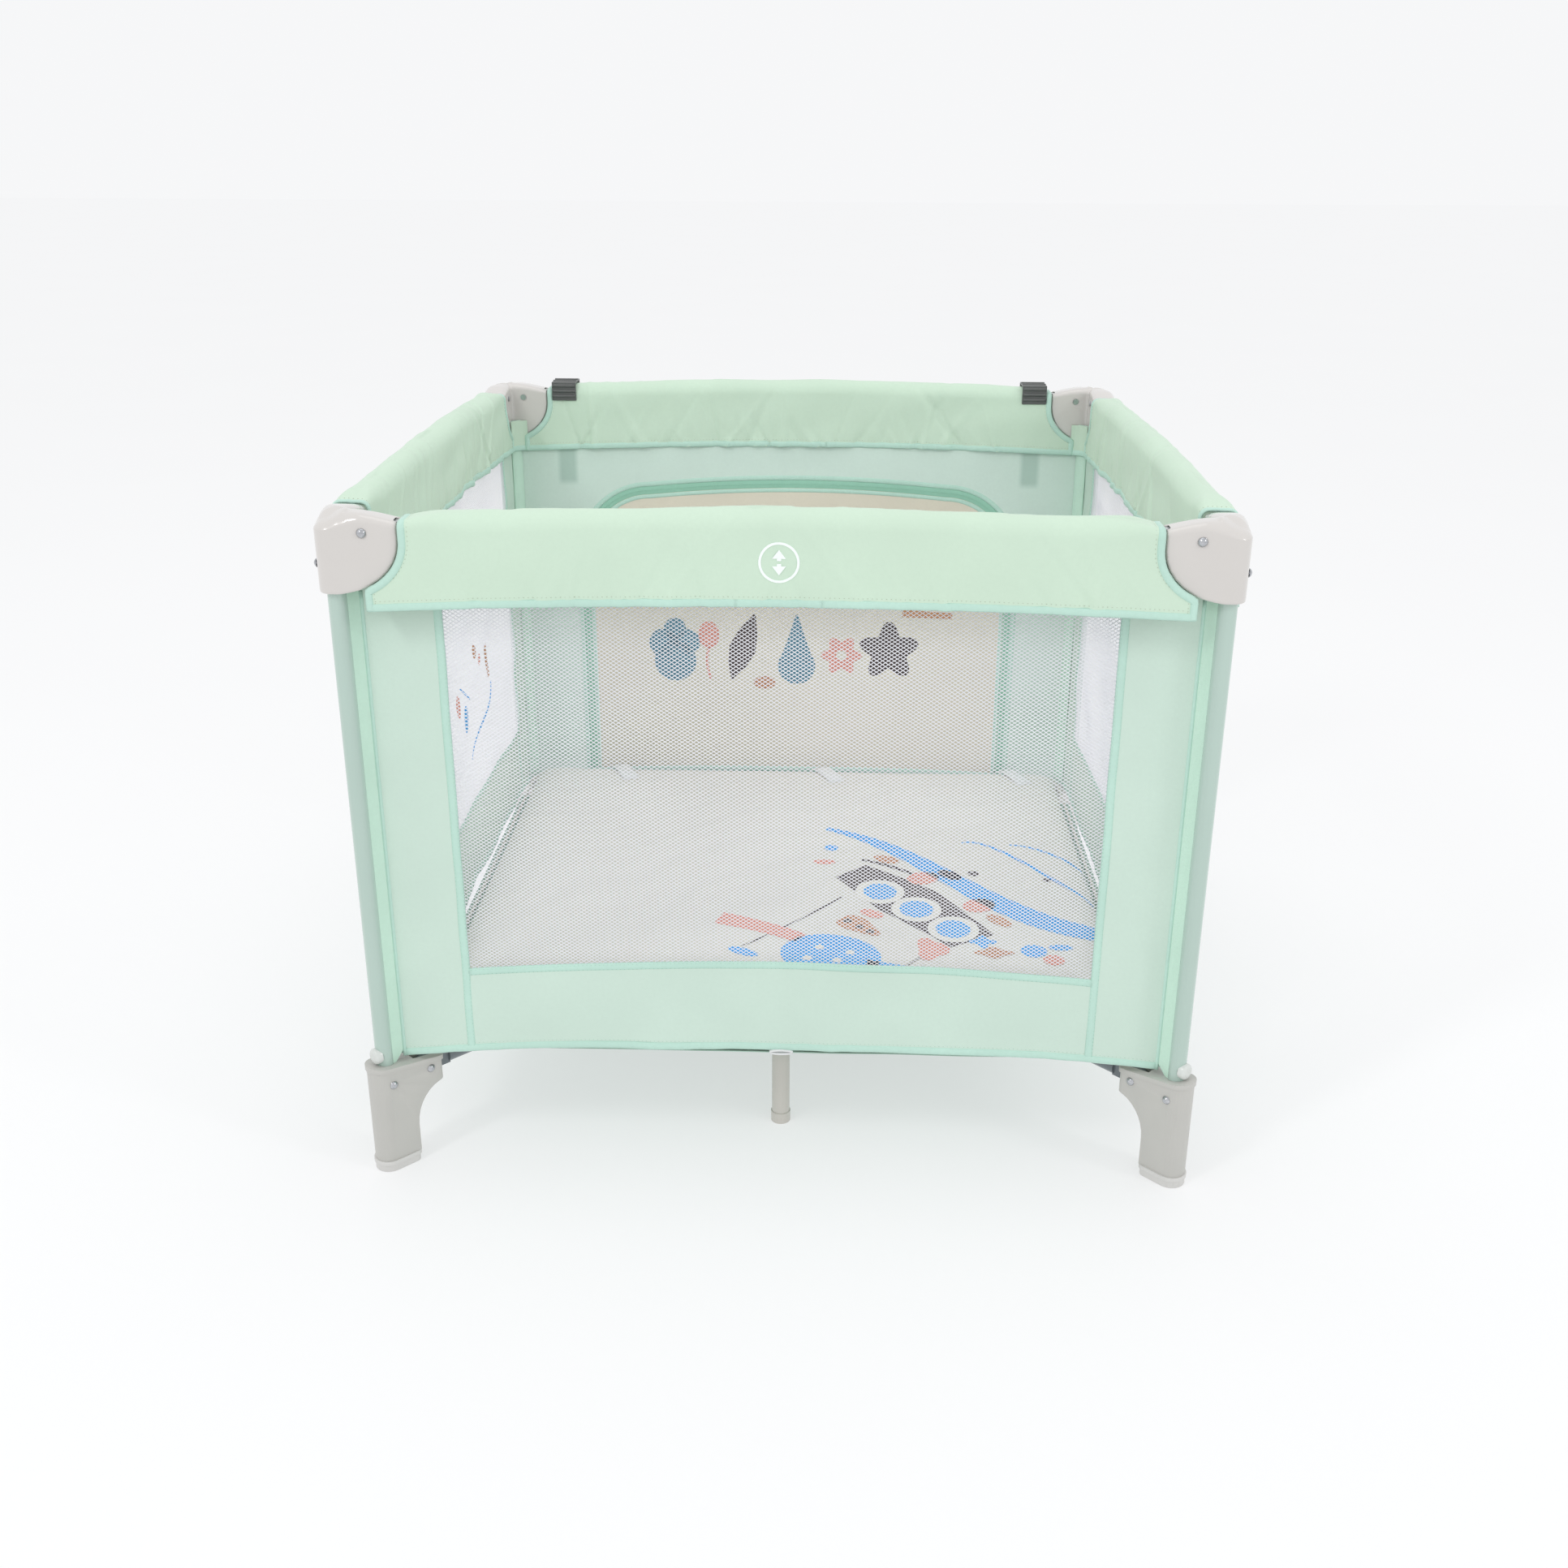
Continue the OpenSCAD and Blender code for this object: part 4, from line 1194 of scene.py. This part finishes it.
def mattress_print():
    """Rows of points, by ink, of the waves, rings, dots and patches printed on the mattress."""
    wave = [(0.053, 0.177), (0.139, 0.090), (0.200, 0.055), (0.270, -0.050), (0.330, -0.130), (0.410, -0.160)]
    rings = [(0.128, -0.047), (0.176, -0.100), (0.222, -0.158)]
    shapes = {
        "dark": [strip([(0.088, 0.020), (0.165, -0.072), (0.245, -0.190)], [0.060, 0.100, 0.070], 40),
                 strip([(0.105, 0.060), (0.150, 0.035), (0.190, 0.0)], [0.006, 0.008, 0.006]),
                 strip([(-0.055, -0.215), (0.010, -0.145), (0.075, -0.065)], [0.0028, 0.0028]),
                 strip([(0.150, -0.268), (0.205, -0.200)], [0.0028, 0.0028]),
                 disc((0.262, 0.018), 0.008), disc((0.365, 0.0), 0.006)],
        "pale": [disc(c, 0.034, 1.1) for c in rings],
        "blue": [strip(wave, [0.010, 0.026, 0.034, 0.040, 0.044, 0.040], 90),
                 strip(shifted(wave[1:5], 0.115, 0.035), [0.003, 0.006, 0.006, 0.004]),
                 strip(shifted(wave[1:4], 0.185, 0.030), [0.003, 0.005, 0.003]),
                 disc((0.060, -0.235), 0.062, 0.95, turn=-0.35, wobble=0.06, lobes=2),
                 strip([(0.105, -0.262), (0.170, -0.270)], [0.030, 0.008]),
                 disc((0.322, -0.216), 0.017), disc((0.258, -0.192), 0.014, wobble=0.3, lobes=4),
                 disc((-0.053, -0.230), 0.022, 0.4, turn=-0.5), disc((0.060, 0.100), 0.010),
                 disc((0.358, -0.205), 0.016, 0.5)],
        "coral": [strip([(-0.090, -0.135), (-0.030, -0.160), (0.020, -0.190)], [0.034, 0.030, 0.026]),
                  disc((0.190, 0.000), 0.024, 0.8, turn=0.6), disc((0.262, -0.085), 0.024, 0.8, turn=0.6),
                  disc((0.190, -0.215), 0.020, 1.4, wobble=0.2), disc((0.345, -0.240), 0.014),
                  disc((0.115, -0.115), 0.018, 0.6, turn=-0.6), disc((0.050, 0.050), 0.016, 0.5)],
        "brown": [disc((0.140, 0.062), 0.020, 0.6, turn=-0.5), disc((0.228, 0.012), 0.020, 0.6, turn=-0.8),
                  disc((0.096, -0.150), 0.034, 0.55, turn=-0.8, wobble=0.15),
                  disc((0.285, -0.130), 0.022, 0.5, turn=-0.9),
                  disc((0.270, -0.222), 0.022, 0.6, wobble=0.2, lobes=4)],
        "blue_on_top": [disc(c, 0.023, 1.1) for c in rings],
        "dots": [disc(c, 0.006) for c in ((0.045, -0.215), (0.068, -0.250), (0.030, -0.245), (0.085, -0.228))],
        "dark_dots": [disc(c, 0.006) for c in ((0.082, -0.138), (0.098, -0.155), (0.112, -0.168))],
    }
    inks = {"blue_on_top": "blue", "dots": "pale", "dark_dots": "dark"}
    return [(name, inks.get(name, name), rows) for name, rows in shapes.items()]


def mattress():
    pad = swollen("mattress", (0.006, 0.005, 0.0045), 0.0060, 4.0, 0.0055, "mattress_pad", "mattress")
    bm = bmesh.new()
    bm.from_mesh(pad.data)
    tree = BVHTree.FromBMesh(bm)
    bm.free()
    top = high("mattress").z + 0.02
    printable = high("mattress").x - 0.016

    def on_pad(lift):
        def place(x, y):
            flat = np.clip(np.stack(np.broadcast_arrays(x, y), -1).reshape(-1, 2), -printable, printable)
            hits = [tree.ray_cast(Vector((a, b, top)), Vector((0, 0, -1)))[0] for a, b in flat]
            return np.array([(h.x, h.y, h.z + lift) for h in hits]).reshape(*x.shape, 3)
        return place

    pieces = [pad]
    lifts = {"dark": 0.0004, "pale": 0.0007, "blue_on_top": 0.0010, "dots": 0.0008, "dark_dots": 0.0008}
    for name, ink, shapes in mattress_print():
        pieces.append(printed(shapes, "mattress_print_" + name, "ink_" + ink, on_pad(lifts.get(name, 0.0005))))
    lo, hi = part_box("mattress")
    reach, corner = hi.x - 0.0035, 0.028
    inner = reach - corner
    ring = []
    for a in np.linspace(0, 2 * math.pi, 160, endpoint=False):
        c, s = math.cos(a), math.sin(a)
        power = (abs(c) ** 40 + abs(s) ** 40) ** (-1 / 40)
        x, y = c * power * reach, s * power * reach
        bx, by = max(-inner, min(inner, x)), max(-inner, min(inner, y))
        dx, dy = x - bx, y - by
        length = math.hypot(dx, dy)
        if length > corner:
            x, y = bx + dx / length * corner, by + dy / length * corner
        ring.append((x, y, hi.z - 0.0140))
    piping = Shape().sweep(np.array(ring), (0, 0, 1), round_section(0.0022), closed=True)
    pieces.append(piping.build("mattress_piping", M["mattress"]))
    tabs = Shape()
    for x in (-0.300, 0.035, 0.340):
        path = np.array([(x, reach - 0.004, hi.z - 0.001), (x + 0.012, reach - 0.020, hi.z + 0.004),
                         (x + 0.024, reach - 0.045, hi.z + 0.0035), (x + 0.034, reach - 0.070, hi.z + 0.0022)])
        tabs.sweep(path, (0, 0, 1), flat_section(0.026, 0.0008))
    pieces.append(tabs.build("mattress_tabs", M["label"]))
    for obj in pieces:
        carry(obj, "mattress", "mattress_fabric")
        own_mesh(obj)
    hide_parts("mattress")


# ---- camera, light and floor ----

DAYLIGHT = (0.985, 0.99, 1.0, 1)


def make_camera():
    """The camera's place and turn, as the photograph's view has them."""
    yaw, pitch, roll = -0.0278, 0.3817, 0.0041
    ahead = Vector((math.sin(yaw) * math.cos(pitch), math.cos(yaw) * math.cos(pitch), -math.sin(pitch)))
    right = Vector((math.cos(yaw), -math.sin(yaw), 0))
    up = right.cross(ahead)
    right, up = right * math.cos(roll) + up * math.sin(roll), up * math.cos(roll) - right * math.sin(roll)
    camera = link(bpy.data.objects.new("camera", bpy.data.cameras.new("camera")))
    turn = Matrix((right, up, -ahead)).transposed().to_4x4()
    camera.matrix_world = Matrix.Translation((0.0504, -2.0770, 1.1455)) @ turn
    camera.data.lens = 37.08
    camera.data.sensor_width = 36
    bpy.context.scene.camera = camera


def area_light(name, place, target, size, power):
    data = bpy.data.lights.new(name, "AREA")
    data.shape = "RECTANGLE"
    data.size, data.size_y = size
    data.energy = power
    light = link(bpy.data.objects.new(name, data))
    light.location = place
    light.rotation_mode = "QUATERNION"
    light.rotation_quaternion = (Vector(target) - Vector(place)).to_track_quat("-Z", "Y")


def make_studio():
    world = bpy.data.worlds.new("studio")
    world.use_nodes = True
    back = world.node_tree.nodes["Background"]
    back.inputs["Color"].default_value = DAYLIGHT
    back.inputs["Strength"].default_value = 0.94
    bpy.context.scene.world = world
    area_light("key", (-2.2, -2.6, 3.4), (0, 0, 0.5), (0.5, 1.0), 26)
    area_light("fill", (2.8, -1.8, 2.2), (0, 0, 0.5), (0.5, 1.0), 12)
    area_light("top", (0, 0.3, 3.6), (0, 0, 0.4), (2.0, 2.0), 8)
    n = Nodes("studio_floor")
    n.join(n.mix(n.noise(1.5, 2), (0.45, 0.45, 0.45), (0.46, 0.46, 0.46)), "Base Color")
    n.set(rough=0.9, specular=0.0)
    n.shader.inputs["Emission Color"].default_value = DAYLIGHT
    n.shader.inputs["Emission Strength"].default_value = 0.500
    edge = 30
    corners = [(-edge, -edge, 0), (edge, -edge, 0), (edge, edge, 0), (-edge, edge, 0)]
    piece("floor", corners, [(0, 1, 2, 3)], n.material)
    bpy.context.scene.view_settings.view_transform = "Standard"


# ---- everything ----

make_camera()
make_studio()
hard_parts()

for side in range(4):
    trims = wall_trim(side)
    if side == BACK:
        wall, panel, bands = back_wall()
        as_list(bands)
    else:
        net = netting(side)
        cloth = window_wall(side)
        [f"rail_{half}" for half in RAIL_HALVES[side]]
    covers = cover(side)
    plugs = cover_plugs(side)
    for half, group in enumerate(covers[:2]):
        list(group[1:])
    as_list(covers[2][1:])
    corner_gussets(side)
    quarter, reach = base_quarter(side)
    if side == FRONT:
        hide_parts("base_sheet")

door_print()
wall_print()
hem_loop()
for end in "lr":
    clip_strap(end)
mattress()
